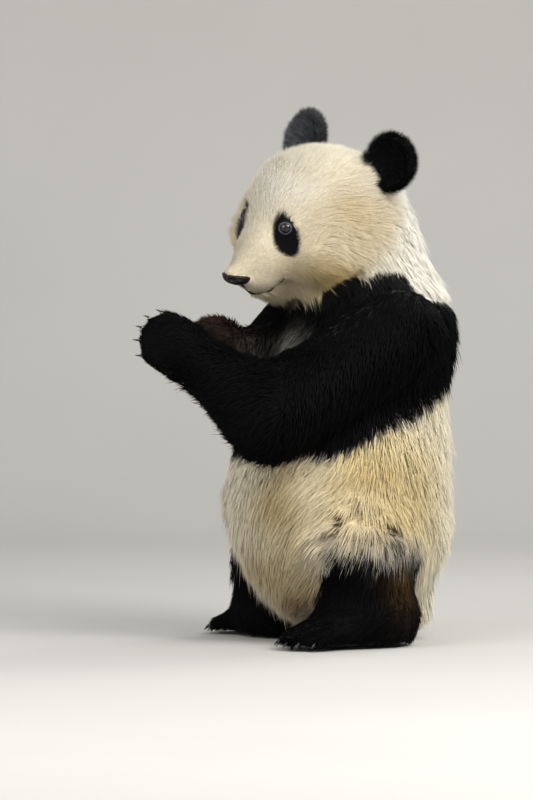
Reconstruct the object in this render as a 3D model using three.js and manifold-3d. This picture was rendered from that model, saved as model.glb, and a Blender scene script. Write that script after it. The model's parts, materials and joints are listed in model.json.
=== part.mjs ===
// A half-grown giant panda, squatting upright on its hind feet with both forepaws raised in front of its chest.
// Units are millimetres. +Z is up, the animal faces -Y, and its left side is +X.
// Every surface stands at the tips of the coat. Each mass of the body is a blended form, parted into its named
// pieces by thin flat cuts, and the limbs and head are let into the trunk with the same narrow gap.
import * as THREE from "three";
import { mergeVertices } from "three/addons/utils/BufferGeometryUtils.js";
import Module from "manifold-3d";

const wasm = await Module();
wasm.setup();

// ---------------------------------------------------------------- driving sizes

const GAP = 0.3; // between touching pieces

const SPINE = {
  belly: { at: [0, -8, 232], radii: [188, 184, 176] },
  rump: { at: [0, 34, 176], radii: [156, 144, 138] },
  lap: { at: [0, -38, 148], radii: [128, 116, 118] },
  waist: { at: [0, 20, 336], radii: [164, 165, 140] },
  chest: { at: [0, 36, 446], radii: [150, 148, 132] },
  withers: { at: [0, 88, 500], radii: [112, 92, 104] },
  nape: { from: [0, 66, 510], to: [0, 22, 660], radii: [118, 108] },
};
const HEAD = { at: [0, -38, 681], pitch: 3, roll: 11, yaw: 18 }; // degrees, towards its left
const SKULL = {
  dome: { at: [0, 4, 4], radii: [123, 120, 114] },
  brow: { at: [0, -48, -6], radii: [94, 76, 78] },
  cheek: { at: [70, -34, -44], radii: [59, 73, 61] },
  muzzle: { from: [0, -92, -56], to: [0, -150, -78], radii: [56, 21] },
  lip: { at: [14, -124, -94], radii: [22, 30, 22] },
  chin: { from: [0, -66, -98], to: [0, -112, -117], radii: [38, 15] },
  socket: { at: [57, -135, -8], radii: [24, 24, 26] },
};
const EAR = { at: [106, 45, 104], radii: [54, 50], depth: 35, hollow: 9, rim: 14, turn: [-14, 24, 10] };
const EYE = { at: [47, -105, -5], radius: 12, looksOut: 42, lid: 2.6, opening: [21, 15] };
const NOSE = { at: [0, -157, -86], radii: [24, 25, 15], nostril: [11, -16, -2] };
const MOUTH = { middle: -121, corner: -94, sweep: 1.05, throat: -70, lip: 4.5, groove: 1.7, buried: 5 };
const ARMS = {
  left: { shoulder: [112, 52, 494], elbow: [136, -172, 370], wrist: [100, -292, 461], handTurn: [-32, 68, -4] },
  right: { shoulder: [-112, -12, 497], elbow: [-152, -90, 408], wrist: [-50, -188, 475], handTurn: [4, -40, 22] },
};
const ARM_RADII = { shoulder: 87, elbow: 77, wrist: 43 };
const LEGS = {
  left: { hip: [112, -6, 200], knee: [122, -6, 150], ankle: [120, 0, 58], foot: [121, 2, 0], toeOut: 16 },
  right: { hip: [-112, -24, 200], knee: [-122, -58, 150], ankle: [-116, -54, 58], foot: [-116, -20, 0], toeOut: 56 },
};
const LEG_RADII = { hip: [90, 122, 96], knee: 85, ankle: 79 };
const HAND = {
  heel: { from: [0, 14, 0], to: [0, -24, 0], radii: [39, 37] },
  palm: { at: [0, -36, -2], radii: [47, 38, 28] },
  digits: { count: 5, spread: 34, fan: 0.24, base: -42, tip: 26, radii: [15, 13], lift: 0 },
};
const FOOT = {
  heel: { from: [0, 40, 34], to: [0, -40, 34], radii: [42, 44] },
  ball: { at: [0, -84, 24], radii: [54, 54, 32] },
  digits: { count: 5, spread: 37, fan: 0.2, base: -112, tip: 32, radii: [17, 15], lift: 22 },
};
const CLAW = { length: 27, radius: 4.8, droop: 62 };
const TAIL = { root: [0, 142, 170], tip: [0, 136, 54], radii: [32, 24] };

// Long locks hang from each flank over the top of the hind leg. Their roots are scattered between two heights.
const FRINGE = {
  count: 13,
  roots: [186, 236],
  tips: 122,
  lift: [2, 9], // of the lowest locks and of the highest, which lie over them
  from: -44, // degrees round the hip from straight out, forwards above 0
  to: 80,
  fan: 0.55,
  halfWidth: [14, 17],
  halfThick: 4,
};
const GOLDEN = 0.618; // scatters a run of places evenly
const LOCK_OUTLINE = [[0, 0], [0.7, 0], [1, 0.35], [0.74, 0.72], [0, 1]]; // share of the half width, place along it

const COAT = {
  white: { color: 0xe6dcc4, roughness: 0.95 },
  black: { color: 0x17161a, roughness: 0.9 },
  nose: { color: 0x121113, roughness: 0.4 },
  eye: { color: 0x1b1512, roughness: 0.08 },
  claw: { color: 0x4b443c, roughness: 0.35 },
};

// ---------------------------------------------------------------- forms: signed distances in millimetres

const vec = (p) => new THREE.Vector3(...p);
const radians = THREE.MathUtils.degToRad;

// An ellipsoid, turned by Euler degrees.
function ball({ at, radii, turn = [0, 0, 0] }) {
  const centre = vec(at);
  const back = new THREE.Quaternion().setFromEuler(new THREE.Euler(...turn.map(radians))).invert();
  const [a, b, c] = radii;
  const q = new THREE.Vector3();
  return (p) => {
    q.subVectors(p, centre).applyQuaternion(back);
    const near = Math.hypot(q.x / a, q.y / b, q.z / c);
    const steep = Math.hypot(q.x / (a * a), q.y / (b * b), q.z / (c * c));
    return steep < 1e-9 ? -Math.min(a, b, c) : (near * (near - 1)) / steep;
  };
}

// A rounded cone between two points, with a radius at each end.
function limb({ from, to, radii: [ra, rb] }) {
  const a = vec(from);
  const axis = vec(to).sub(a);
  const length = axis.length();
  axis.normalize();
  const slope = (ra - rb) / length;
  const across = Math.sqrt(1 - slope * slope);
  const q = new THREE.Vector3();
  return (p) => {
    q.subVectors(p, a);
    const along = q.dot(axis);
    const out = Math.sqrt(Math.max(q.lengthSq() - along * along, 0));
    const foot = along - (out * slope) / across;
    if (foot <= 0) return q.length() - ra;
    if (foot >= length) return Math.hypot(out, along - length) - rb;
    return out * across + along * slope - ra;
  };
}

// Several forms run together, with a fillet of about this width.
function blend(width, ...forms) {
  return (p) =>
    forms.reduce((best, form) => {
      const d = form(p);
      const near = Math.max(width - Math.abs(best - d), 0) / width;
      return Math.min(best, d) - (near * near * width) / 4;
    }, 1e6);
}

// A form with a soft-edged hollow in it.
function hollowed(width, form, hollow) {
  return (p) => {
    const d = form(p);
    const h = -hollow(p);
    const near = Math.max(width - Math.abs(d - h), 0) / width;
    return Math.max(d, h) + (near * near * width) / 4;
  };
}

// A form seen from a frame of its own.
function placed(form, matrix) {
  const inverse = matrix.clone().invert();
  const q = new THREE.Vector3();
  return (p) => form(q.copy(p).applyMatrix4(inverse));
}

// ---------------------------------------------------------------- solids

// A closed geometry as a manifold-3d solid.
function solid(geometry) {
  const bare = new THREE.BufferGeometry().setAttribute("position", geometry.getAttribute("position").clone());
  bare.setIndex(geometry.index);
  const merged = mergeVertices(bare, 1e-3);
  return new wasm.Manifold(
    new wasm.Mesh({
      numProp: 3,
      vertProperties: merged.attributes.position.array,
      triVerts: new Uint32Array(merged.index.array),
    }),
  );
}

// A solid as a named mesh. Only its largest closed surface is kept.
function piece(name, body, look) {
  const whole = body.decompose().reduce((a, b) => (a.volume() > b.volume() ? a : b));
  const { vertProperties, triVerts, numProp } = whole.getMesh();
  const points = new Float32Array((vertProperties.length / numProp) * 3);
  for (let i = 0; i < points.length / 3; i++) points.set(vertProperties.subarray(i * numProp, i * numProp + 3), i * 3);
  const geometry = new THREE.BufferGeometry().setAttribute("position", new THREE.BufferAttribute(points, 3));
  geometry.setIndex(new THREE.BufferAttribute(new Uint32Array(triVerts), 1));
  geometry.computeVertexNormals();
  const mesh = new THREE.Mesh(geometry, new THREE.MeshStandardMaterial({ ...look, metalness: 0 }));
  mesh.name = name;
  return mesh;
}

// Draws each point of a closed geometry out along its ray from a core line to the surface of a form.
function wrap(geometry, form, { from, to = from, reach }) {
  const core = new THREE.Line3(vec(from), vec(to));
  const points = geometry.getAttribute("position");
  const point = new THREE.Vector3();
  const start = new THREE.Vector3();
  const ray = new THREE.Vector3();
  const at = (t) => form(point.copy(start).addScaledVector(ray, t));
  for (let i = 0; i < points.count; i++) {
    point.fromBufferAttribute(points, i);
    core.closestPointToPoint(point, true, start);
    ray.subVectors(point, start).normalize();
    let inside = 0;
    let t = 0;
    while (t < reach && at(t) < 0) {
      inside = t;
      t += Math.max(-at(t) * 0.7, 0.6);
    }
    let outside = Math.min(t, reach);
    for (let n = 0; n < 14 && t < reach; n++) {
      const middle = (inside + outside) / 2;
      if (at(middle) < 0) inside = middle;
      else outside = middle;
    }
    at(outside);
    points.setXYZ(i, point.x, point.y, point.z);
  }
  return geometry;
}

// A capsule round a core line, ready to be wrapped.
function around({ from, to, radius, sides, steps, cap }) {
  const a = vec(from);
  const b = vec(to);
  const length = a.distanceTo(b);
  const geometry = new THREE.CapsuleGeometry(radius, length, cap, sides, steps);
  const turn = new THREE.Quaternion().setFromUnitVectors(new THREE.Vector3(0, 1, 0), b.clone().sub(a).normalize());
  return geometry.applyQuaternion(turn).translate(...a.lerp(b, 0.5).toArray());
}

// A sphere whose pole faces -Y. Its rings are drawn together towards that pole as crowd goes above 1.
function facing({ at, radius, sides, rings, crowd }) {
  const geometry = new THREE.SphereGeometry(radius, sides, rings);
  const points = geometry.getAttribute("position");
  const p = new THREE.Vector3();
  for (let i = 0; i < points.count; i++) {
    p.fromBufferAttribute(points, i);
    const angle = Math.acos(THREE.MathUtils.clamp(p.y / radius, -1, 1));
    const drawn = Math.PI * Math.pow(angle / Math.PI, crowd);
    const out = Math.hypot(p.x, p.z);
    const spread = out > 1e-6 ? (Math.sin(drawn) * radius) / out : 0;
    points.setXYZ(i, p.x * spread, Math.cos(drawn) * radius, p.z * spread);
  }
  return geometry.rotateX(Math.PI).translate(...at);
}

// A flat cut: a point on it, and the way its kept side faces.
const cut = (through, facingWay) => ({ through: vec(through), facing: vec(facingWay).normalize() });
const reversed = ({ through, facing: way }) => ({ through, facing: way.clone().negate() });
const turned = ({ through, facing: way }, matrix) => ({
  through: through.clone().applyMatrix4(matrix),
  facing: way.clone().transformDirection(matrix),
});

// What lies on the kept side of every cut, this far back from each.
const within = (body, setBack, cuts) =>
  cuts.reduce((left, c) => left.trimByPlane(c.facing.toArray(), c.facing.dot(c.through) + setBack), body);
const keep = (body, ...cuts) => within(body, GAP / 2, cuts);
const room = (body, ...cuts) => within(body, -GAP / 2, cuts);

// ---------------------------------------------------------------- poses of the head, paws and feet

const outward = (side) => (side === "left" ? 1 : -1);
const frameAt = (position, degrees) =>
  new THREE.Matrix4().compose(
    vec(position),
    new THREE.Quaternion().setFromEuler(new THREE.Euler(...degrees.map(radians), "ZXY")),
    new THREE.Vector3(1, 1, 1),
  );
const headPose = frameAt(HEAD.at, [HEAD.pitch, HEAD.roll, HEAD.yaw]);

// A hand's frame has its origin at the wrist, the fingers along -Y and the back of the hand towards +Z.
const armOf = ({ handTurn, ...joints }) => ({ ...joints, hand: frameAt(joints.wrist, handTurn) });

// A foot's frame has its origin on the floor under the ankle, the toes along -Y.
const legOf = ({ foot, toeOut, ...joints }) => ({
  ...joints,
  sole: frameAt(foot, [0, 0, toeOut * Math.sign(foot[0])]),
});

// ---------------------------------------------------------------- the body's forms

// Five digits fan out from a palm or sole. Each is a short limb, and carries one claw.
function digits({ count, spread, fan, base, tip, radii, lift }) {
  return Array.from({ length: count }, (_, i) => {
    const across = (i / (count - 1)) * 2 - 1; // from -1 to 1, the inner digit first
    const bow = 1 - across * across;
    const yaw = across * fan;
    const from = [across * spread, base + 6 * (1 - bow), lift];
    const reach = tip + 12 * bow;
    const to = [from[0] + Math.sin(yaw) * reach, from[1] - Math.cos(yaw) * reach, lift - 6];
    return { from, to, radii, yaw };
  });
}

const FINGERS = digits(HAND.digits);
const TOES = digits(FOOT.digits);

const handForm = blend(16, blend(30, limb(HAND.heel), ball(HAND.palm)), blend(5, ...FINGERS.map(limb)));
const footForm = blend(16, blend(34, limb(FOOT.heel), ball(FOOT.ball)), blend(5, ...TOES.map(limb)));

const upperArmForm = ({ shoulder, elbow }) =>
  limb({ from: shoulder, to: elbow, radii: [ARM_RADII.shoulder, ARM_RADII.elbow] });
const forearmForm = ({ elbow, wrist, hand }) =>
  blend(26, limb({ from: elbow, to: wrist, radii: [ARM_RADII.elbow, ARM_RADII.wrist] }), placed(handForm, hand));
const armForm = (arm) => blend(26, upperArmForm(arm), forearmForm(arm));

const legForm = ({ hip, knee, ankle, sole }) =>
  blend(
    34,
    ball({ at: hip, radii: LEG_RADII.hip }),
    limb({ from: knee, to: ankle, radii: [LEG_RADII.knee, LEG_RADII.ankle] }),
    placed(footForm, sole),
  );

const arms = { left: armOf(ARMS.left), right: armOf(ARMS.right) };
const legs = { left: legOf(LEGS.left), right: legOf(LEGS.right) };

const { nape, ...masses } = SPINE;
const trunkForm = blend(50, ...Object.values(masses).map(ball), limb(nape));

// The head in its own frame, its origin at the middle of the skull.
const bothSides = ({ at: [x, y, z], radii }) => [ball({ at: [x, y, z], radii }), ball({ at: [-x, y, z], radii })];
const skullForm = blend(20, ball(SKULL.dome), ball(SKULL.brow), ...bothSides(SKULL.cheek));
const muzzleForm = blend(12, limb(SKULL.muzzle), ...bothSides(SKULL.lip));
const headForm = bothSides(SKULL.socket).reduce(
  (form, socket) => hollowed(14, form, socket),
  blend(26, skullForm, blend(6, muzzleForm, limb(SKULL.chin))),
);

const bodyForm = blend(36, trunkForm, placed(headForm, headPose));

// ---------------------------------------------------------------- the cuts between the pieces

const NECK_TOP = turned(cut([0, -60, -128], [0, -0.72, 0.69]), headPose); // its kept side holds the head
const THROAT = turned(cut([0, 0, -141], [0, 0, 1]), headPose); // the head
const NECK_BASE = cut([0, 20, 562], [0, 0.08, 1]); // the neck
const WAIST = cut([0, 150, 392], [0, -0.36, 0.93]); // the chest
const BIB = cut([0, 0, 298], [0, 0, 1]); // the chest, in front
const SHOULDER = (side) => cut([84 * outward(side), 0, 0], [0.94 * outward(side), -0.34, 0]); // the arm
const HIP = (side) => cut([60 * outward(side), 0, 200], [0.75 * outward(side), 0, -0.66]); // the leg
const KNEE = cut([0, 0, 158], [0, 0, -1]); // the shin
const ANKLE = cut([0, 0, 74], [0, 0, -1]); // the foot

function elbowCut({ shoulder, elbow, wrist }) {
  const upper = vec(elbow).sub(vec(shoulder)).normalize();
  const lower = vec(wrist).sub(vec(elbow)).normalize();
  return { through: vec(elbow), facing: upper.add(lower).normalize() }; // the forearm
}
const wristCut = ({ hand }) => turned(cut([0, 0, 0], [0, -1, 0]), hand); // the paw

// ---------------------------------------------------------------- skins: a form wrapped from a core of its own

const grown = (form) => (p) => form(p) - GAP;

function trunkSkin(form) {
  const core = { from: [0, 14, 150], to: [0, 34, 470], reach: 250 };
  return solid(wrap(around({ ...core, radius: 120, sides: 36, steps: 10, cap: 7 }), form, core));
}
function neckSkin(form) {
  const core = { from: [0, 50, 500], to: [0, 0, 660], reach: 190 };
  return solid(wrap(around({ ...core, radius: 100, sides: 32, steps: 6, cap: 6 }), form, core));
}
function headSkin(form) {
  const core = { from: [0, -52, -26], reach: 260 };
  const front = facing({ at: core.from, radius: 60, sides: 38, rings: 28, crowd: 1.35 });
  return solid(wrap(front, placed(form, headPose.clone().invert()), core));
}
function upperArmSkin({ shoulder, elbow }, form) {
  const core = { from: shoulder, to: elbow, reach: 150 };
  return solid(wrap(around({ ...core, radius: 60, sides: 22, steps: 5, cap: 6 }), form, core));
}
function forearmSkin({ elbow, wrist }, form) {
  const core = { from: elbow, to: wrist, reach: 110 };
  return solid(wrap(around({ ...core, radius: 40, sides: 22, steps: 5, cap: 5 }), form, core));
}
function legSkin({ hip, ankle }, form) {
  const core = { from: [hip[0], hip[1], 210], to: [ankle[0], ankle[1], 66], reach: 190 };
  return solid(wrap(around({ ...core, radius: 60, sides: 24, steps: 6, cap: 6 }), form, core));
}

function handSkin(form) {
  const core = { from: [0, 0, 0], to: [0, -40, 0], reach: 120 };
  return solid(wrap(around({ ...core, radius: 30, sides: 24, steps: 4, cap: 6 }), form, core));
}
function footSkin(form) {
  const core = { from: [0, 30, 30], to: [0, -100, 26], reach: 150 };
  return solid(wrap(around({ ...core, radius: 24, sides: 24, steps: 6, cap: 5 }), form, core));
}

// The room that the head and the limbs take up in what they grow from, with the gap round them.
const headRoom = room(headSkin(grown(bodyForm)).transform(headPose.elements), NECK_TOP, THROAT);
function armRoom(side) {
  const arm = arms[side];
  const form = grown(armForm(arm));
  const upper = room(upperArmSkin(arm, form), SHOULDER(side), reversed(elbowCut(arm)));
  return upper.add(room(forearmSkin(arm, form), elbowCut(arm)));
}
function legRoom(side) {
  const leg = legs[side];
  const form = grown(legForm(leg));
  const foot = footSkin(placed(form, leg.sole.clone().invert())).transform(leg.sole.elements);
  return room(legSkin(leg, form), HIP(side), reversed(ANKLE)).add(room(foot, ANKLE));
}
const limbRooms = ["left", "right"].flatMap((side) => [armRoom(side), legRoom(side)]);
const clearOf = (body, ...rooms) => rooms.reduce((left, taken) => left.subtract(taken), body);

// ---------------------------------------------------------------- long locks

// The way out of a form at a point.
function outOf(form, p) {
  const step = 0.5;
  const slope = ["x", "y", "z"].map((axis) => {
    const near = p.clone();
    const far = p.clone();
    near[axis] -= step;
    far[axis] += step;
    return form(far) - form(near);
  });
  return vec(slope).normalize();
}

// The places along a lock that lies on a form, from its root, each with the ways ahead, across and out.
function lieOf({ root, way, length, lift, halfThick }, form) {
  const steps = 16;
  const stations = [];
  const at = root.clone();
  for (let i = 0; i <= steps; i++) {
    const share = i / steps;
    const out = outOf(form, at);
    const ahead = way.clone().addScaledVector(out, -way.dot(out)).normalize();
    at.addScaledVector(out, THREE.MathUtils.lerp(-halfThick, lift, Math.min(share * 3, 1)) - form(at));
    stations.push({ at: at.clone(), ahead, out, across: ahead.clone().cross(out) });
    at.addScaledVector(ahead, length / steps);
  }
  return stations;
}

// A flat, tapered lock of hair, its section a lens. More makes it larger all round.
function lock(hair, form, more = 0) {
  const profile = LOCK_OUTLINE.map(([out, along]) => new THREE.Vector2(out, along));
  const geometry = new THREE.LatheGeometry(profile, 4);
  const stations = lieOf(hair, form);
  const points = geometry.getAttribute("position");
  const q = new THREE.Vector3();
  for (let i = 0; i < points.count; i++) {
    q.fromBufferAttribute(points, i);
    const { at, across, ahead, out } = stations[Math.round(q.y * (stations.length - 1))];
    const beyond = q.y === 1 ? 2 * more : 0;
    const place = at.clone().addScaledVector(across, q.x * (hair.halfWidth + more));
    place.addScaledVector(out, q.z * (hair.halfThick + more)).addScaledVector(ahead, beyond);
    points.setXYZ(i, ...place.toArray());
  }
  return solid(geometry);
}

// The locks of one flank. Each grows from the trunk or the thigh, whichever is the outer one at its root.
function fringe(side) {
  const leg = legs[side];
  const legSurface = legForm(leg);
  const form = blend(10, trunkForm, legSurface);
  const { lerp } = THREE.MathUtils;
  const hairs = Array.from({ length: FRINGE.count }, (_, i) => {
    const high = (i * GOLDEN) % 1;
    const vary = Math.sin(5.1 * i);
    const degrees = lerp(FRINGE.from, FRINGE.to, (i + 0.3 * vary) / (FRINGE.count - 1));
    const angle = radians(degrees);
    const out = new THREE.Vector3(Math.cos(angle) * outward(side), -Math.sin(angle), 0);
    const forwards = new THREE.Vector3(-Math.sin(angle) * outward(side), -Math.cos(angle), 0);
    const root = new THREE.Vector3(leg.hip[0], leg.hip[1], lerp(...FRINGE.roots, high)).addScaledVector(out, 20);
    while (form(root) < 0) root.addScaledVector(out, 1);
    const way = forwards.multiplyScalar((FRINGE.fan * degrees) / FRINGE.to + 0.12 * vary).setZ(-1);
    return {
      root,
      way,
      length: (root.z - FRINGE.tips) * (1.12 + 0.16 * vary),
      lift: lerp(...FRINGE.lift, high),
      halfWidth: lerp(...FRINGE.halfWidth, high),
      halfThick: FRINGE.halfThick,
      onTrunk: trunkForm(root) < legSurface(root),
    };
  });
  const thighHairs = hairs.filter((hair) => !hair.onTrunk);
  const trunkHairs = hairs.filter((hair) => hair.onTrunk);
  const taken = [legRoom(side), ...thighHairs.map((hair) => lock(hair, form, GAP))];
  return {
    thigh: thighHairs.map((hair) => lock(hair, form)),
    trunk: trunkHairs.map((hair) => clearOf(lock(hair, form), ...taken)),
  };
}
const fringes = { left: fringe("left"), right: fringe("right") };
const grownWith = (body, hairs) => hairs.reduce((whole, hair) => whole.add(hair), body);

// ---------------------------------------------------------------- trunk, neck and tail

function trunkPieces() {
  const bare = clearOf(trunkSkin(trunkForm), headRoom, ...limbRooms);
  const below = clearOf(bare, room(trunkSkin(grown(trunkForm)), WAIST, BIB));
  const abdomen = grownWith(below, [...fringes.left.trunk, ...fringes.right.trunk]);
  return [
    piece("chest", keep(bare, WAIST, BIB, reversed(NECK_BASE)), COAT.black),
    piece("abdomen", abdomen, COAT.white),
  ];
}

const neckPiece = () =>
  piece("neck", clearOf(keep(neckSkin(bodyForm), NECK_BASE, reversed(NECK_TOP)), ...limbRooms), COAT.white);

function tailPiece() {
  const core = { from: TAIL.root, to: TAIL.tip, reach: 60 };
  const form = limb({ ...core, radii: TAIL.radii });
  const tail = solid(wrap(around({ ...core, radius: 20, sides: 16, steps: 4, cap: 4 }), form, core));
  return piece("tail", clearOf(tail, trunkSkin(grown(trunkForm))), COAT.white);
}

// ---------------------------------------------------------------- limbs

function armPieces(side) {
  const arm = arms[side];
  const elbow = elbowCut(arm);
  const upper = clearOf(upperArmSkin(arm, armForm(arm)), headRoom);
  return [
    piece(`upper_arm_${side}`, keep(upper, SHOULDER(side), reversed(elbow)), COAT.black),
    piece(`forearm_${side}`, keep(forearmSkin(arm, armForm(arm)), elbow, reversed(wristCut(arm))), COAT.black),
  ];
}

function legPieces(side) {
  const form = legForm(legs[side]);
  const leg = keep(legSkin(legs[side], form), HIP(side));
  const hairs = grownWith(fringes[side].thigh[0], fringes[side].thigh.slice(1));
  const taken = [trunkSkin(grown(trunkForm)), room(legSkin(legs[side], grown(form)), KNEE)];
  return [
    piece(`thigh_${side}`, keep(leg, reversed(KNEE)).add(clearOf(hairs, ...taken)), COAT.white),
    piece(`shin_${side}`, keep(leg, KNEE, reversed(ANKLE)), COAT.black),
  ];
}

// A claw lies along -Y from its root and droops towards -Z.
function clawGeometry() {
  const steps = 3;
  const geometry = new THREE.ConeGeometry(CLAW.radius, CLAW.length, 6, steps);
  geometry.translate(0, CLAW.length / 2, 0).rotateX(Math.PI);
  const bend = radians(CLAW.droop) / CLAW.length;
  const points = geometry.getAttribute("position");
  for (let i = 0; i < points.count; i++) {
    const along = -points.getY(i);
    const angle = bend * along;
    const radius = 1 / bend + points.getZ(i);
    points.setXYZ(i, points.getX(i) * 0.8, -Math.sin(angle) * radius, Math.cos(angle) * radius - 1 / bend);
  }
  return geometry;
}

// The paws and feet are made in their own frames, so that each is a group placed by its pose.
function extremity({ name, pose, form, skin, digitList, shape }) {
  const group = new THREE.Group();
  pose.decompose(group.position, group.quaternion, group.scale);
  group.add(piece(name, shape(skin(form)), COAT.black));
  const taken = skin(grown(form));
  digitList.forEach((digit, i) => {
    const root = new THREE.Matrix4().makeRotationZ(digit.yaw).setPosition(...digit.to);
    group.add(piece(`${name}_claw_${i + 1}`, clearOf(solid(clawGeometry().applyMatrix4(root)), taken), COAT.claw));
  });
  return group;
}

const forepaw = (side) =>
  extremity({
    name: `forepaw_${side}`,
    pose: arms[side].hand,
    form: placed(forearmForm(arms[side]), arms[side].hand.clone().invert()),
    skin: handSkin,
    digitList: FINGERS,
    shape: (flesh) => keep(flesh, cut([0, 0, 0], [0, -1, 0])),
  });

function hindfoot(side) {
  const leg = legs[side];
  const toLocal = leg.sole.clone().invert();
  return extremity({
    name: `hindfoot_${side}`,
    pose: leg.sole,
    form: placed(legForm(leg), toLocal),
    skin: footSkin,
    digitList: TOES,
    shape: (flesh) => keep(flesh, turned(ANKLE, toLocal)).trimByPlane([0, 0, 1], 0), // the sole is flat on the floor
  });
}

// ---------------------------------------------------------------- head

// A ball of its own size: an eye, a lid, a nose or a nostril.
const pebble = (at, [a, b, c], detail = 13) =>
  new THREE.SphereGeometry(1, detail, detail * 0.7).rotateX(-Math.PI / 2).scale(a, b, c).translate(...at);
const threeOf = (radius) => [radius, radius, radius];

// An eye's frame looks out along -Y.
function eyeFrame(side) {
  const out = outward(side);
  const [x, y, z] = EYE.at;
  return frameAt([x * out, y, z], [0, 0, EYE.looksOut * out]);
}

// The almond opening between the lids.
function almond() {
  const [wide, high] = EYE.opening;
  const outline = new THREE.Shape();
  outline.moveTo(-wide / 2, 0).quadraticCurveTo(0, high, wide / 2, 0).quadraticCurveTo(0, -high, -wide / 2, 0);
  const depth = 2 * EYE.radius;
  return new THREE.ExtrudeGeometry(outline, { depth, bevelEnabled: false, curveSegments: 6 }).rotateX(Math.PI / 2);
}

// The mouth runs from corner to corner under the muzzle, on the surface of the head.
function mouthCurve() {
  const steps = 12;
  const p = new THREE.Vector3();
  const points = Array.from({ length: steps + 1 }, (_, i) => {
    const across = (i / steps) * 2 - 1;
    const angle = across * MOUTH.sweep;
    const height = MOUTH.middle + (MOUTH.corner - MOUTH.middle) * across * across;
    let out = 0;
    const along = (far) => p.set(Math.sin(angle) * far, MOUTH.throat - Math.cos(angle) * far, height);
    while (headForm(along(out)) < 0) out += 0.5;
    return along(out - MOUTH.buried * across ** 8).clone(); // the corners sink into the cheek
  });
  return new THREE.CatmullRomCurve3(points);
}

const cord = (curve, radius, sides) => {
  const section = new THREE.EllipseCurve(0, 0, radius, radius).getPoints(sides).slice(0, sides);
  return new THREE.ExtrudeGeometry(new THREE.Shape(section), { steps: 18, extrudePath: curve, bevelEnabled: false });
};

function nosePiece() {
  const [x, y, z] = NOSE.at;
  const [out, ahead, up] = NOSE.nostril;
  const nostril = (way) => solid(pebble([x + out * way, y + ahead, z + up], [4.6, 10, 3.6], 8));
  return piece("nose", solid(pebble(NOSE.at, NOSE.radii)).subtract(nostril(1)).subtract(nostril(-1)), COAT.nose);
}

// A round ear: a cup turned on a lathe, its rim rounded and its mouth towards -Y.
function earGeometry(side) {
  const [wide, high] = EAR.radii;
  const inner = 1 - EAR.rim / wide;
  const quarter = (i, n) => (i / n) * (Math.PI / 2);
  const back = Array.from({ length: 7 }, (_, i) => {
    const angle = quarter(i, 6);
    return new THREE.Vector2(i === 0 ? 0 : Math.sin(angle), Math.cos(angle) * EAR.depth);
  });
  const cup = Array.from({ length: 6 }, (_, i) => {
    const angle = quarter(i, 5);
    const x = i === 5 ? 0 : Math.cos(angle) * inner;
    return new THREE.Vector2(x, -EAR.hollow + 2 * EAR.hollow * Math.sin(angle));
  });
  const [x, y, z] = EAR.at;
  const [pitch, roll, yaw] = EAR.turn;
  const out = outward(side);
  const pose = frameAt([x * out, y, z], [pitch, roll * out, yaw * out]);
  return new THREE.LatheGeometry([...back, ...cup].reverse(), 19).scale(wide, 1, high).applyMatrix4(pose);
}

function headPieces() {
  const group = new THREE.Group();
  headPose.decompose(group.position, group.quaternion, group.scale);
  const clearance = headSkin(grown(bodyForm));
  const mouth = mouthCurve();

  const toLocal = headPose.clone().invert();
  let head = keep(headSkin(bodyForm), turned(NECK_TOP, toLocal), turned(THROAT, toLocal));
  head = head.add(solid(cord(mouth, MOUTH.lip, 6)));
  for (const side of ["left", "right"]) {
    const inPlace = (geometry) => solid(geometry.applyMatrix4(eyeFrame(side)));
    const roundEye = (more) => inPlace(pebble([0, 0, 0], threeOf(EYE.radius + more)));
    head = head.add(roundEye(GAP + EYE.lid)).subtract(inPlace(almond())).subtract(roundEye(GAP));
    group.add(piece(`eye_${side}`, roundEye(0), COAT.eye));
    group.add(piece(`ear_${side}`, solid(earGeometry(side)).subtract(clearance), COAT.black));
  }
  const noseBed = pebble(NOSE.at, NOSE.radii.map((radius) => radius + GAP));
  head = head.subtract(solid(cord(mouth, MOUTH.groove, 4))).subtract(solid(noseBed));
  group.add(nosePiece(), piece("head", head, COAT.white));
  return group;
}

// ---------------------------------------------------------------- the animal

const panda = new THREE.Group();
panda.add(...trunkPieces(), neckPiece(), tailPiece(), headPieces());
for (const side of ["left", "right"]) panda.add(...armPieces(side), ...legPieces(side), forepaw(side), hindfoot(side));

// The origin is on the floor, under the middle of the animal's bounding box.
const { min, max } = new THREE.Box3().setFromObject(panda, true);
panda.position.set(-(min.x + max.x) / 2, -(min.y + max.y) / 2, 0);

export default panda;
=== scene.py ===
# A half-grown giant panda, life-size and still: one skin over the flesh, a coat of tufts, and the bare parts.
# Units are metres. +Z is up, the animal faces -Y and its left side is +X.
import bpy
import bmesh
import json
import math
import numpy as np
from mathutils import Matrix, Vector, kdtree
from mathutils.bvhtree import BVHTree


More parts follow.
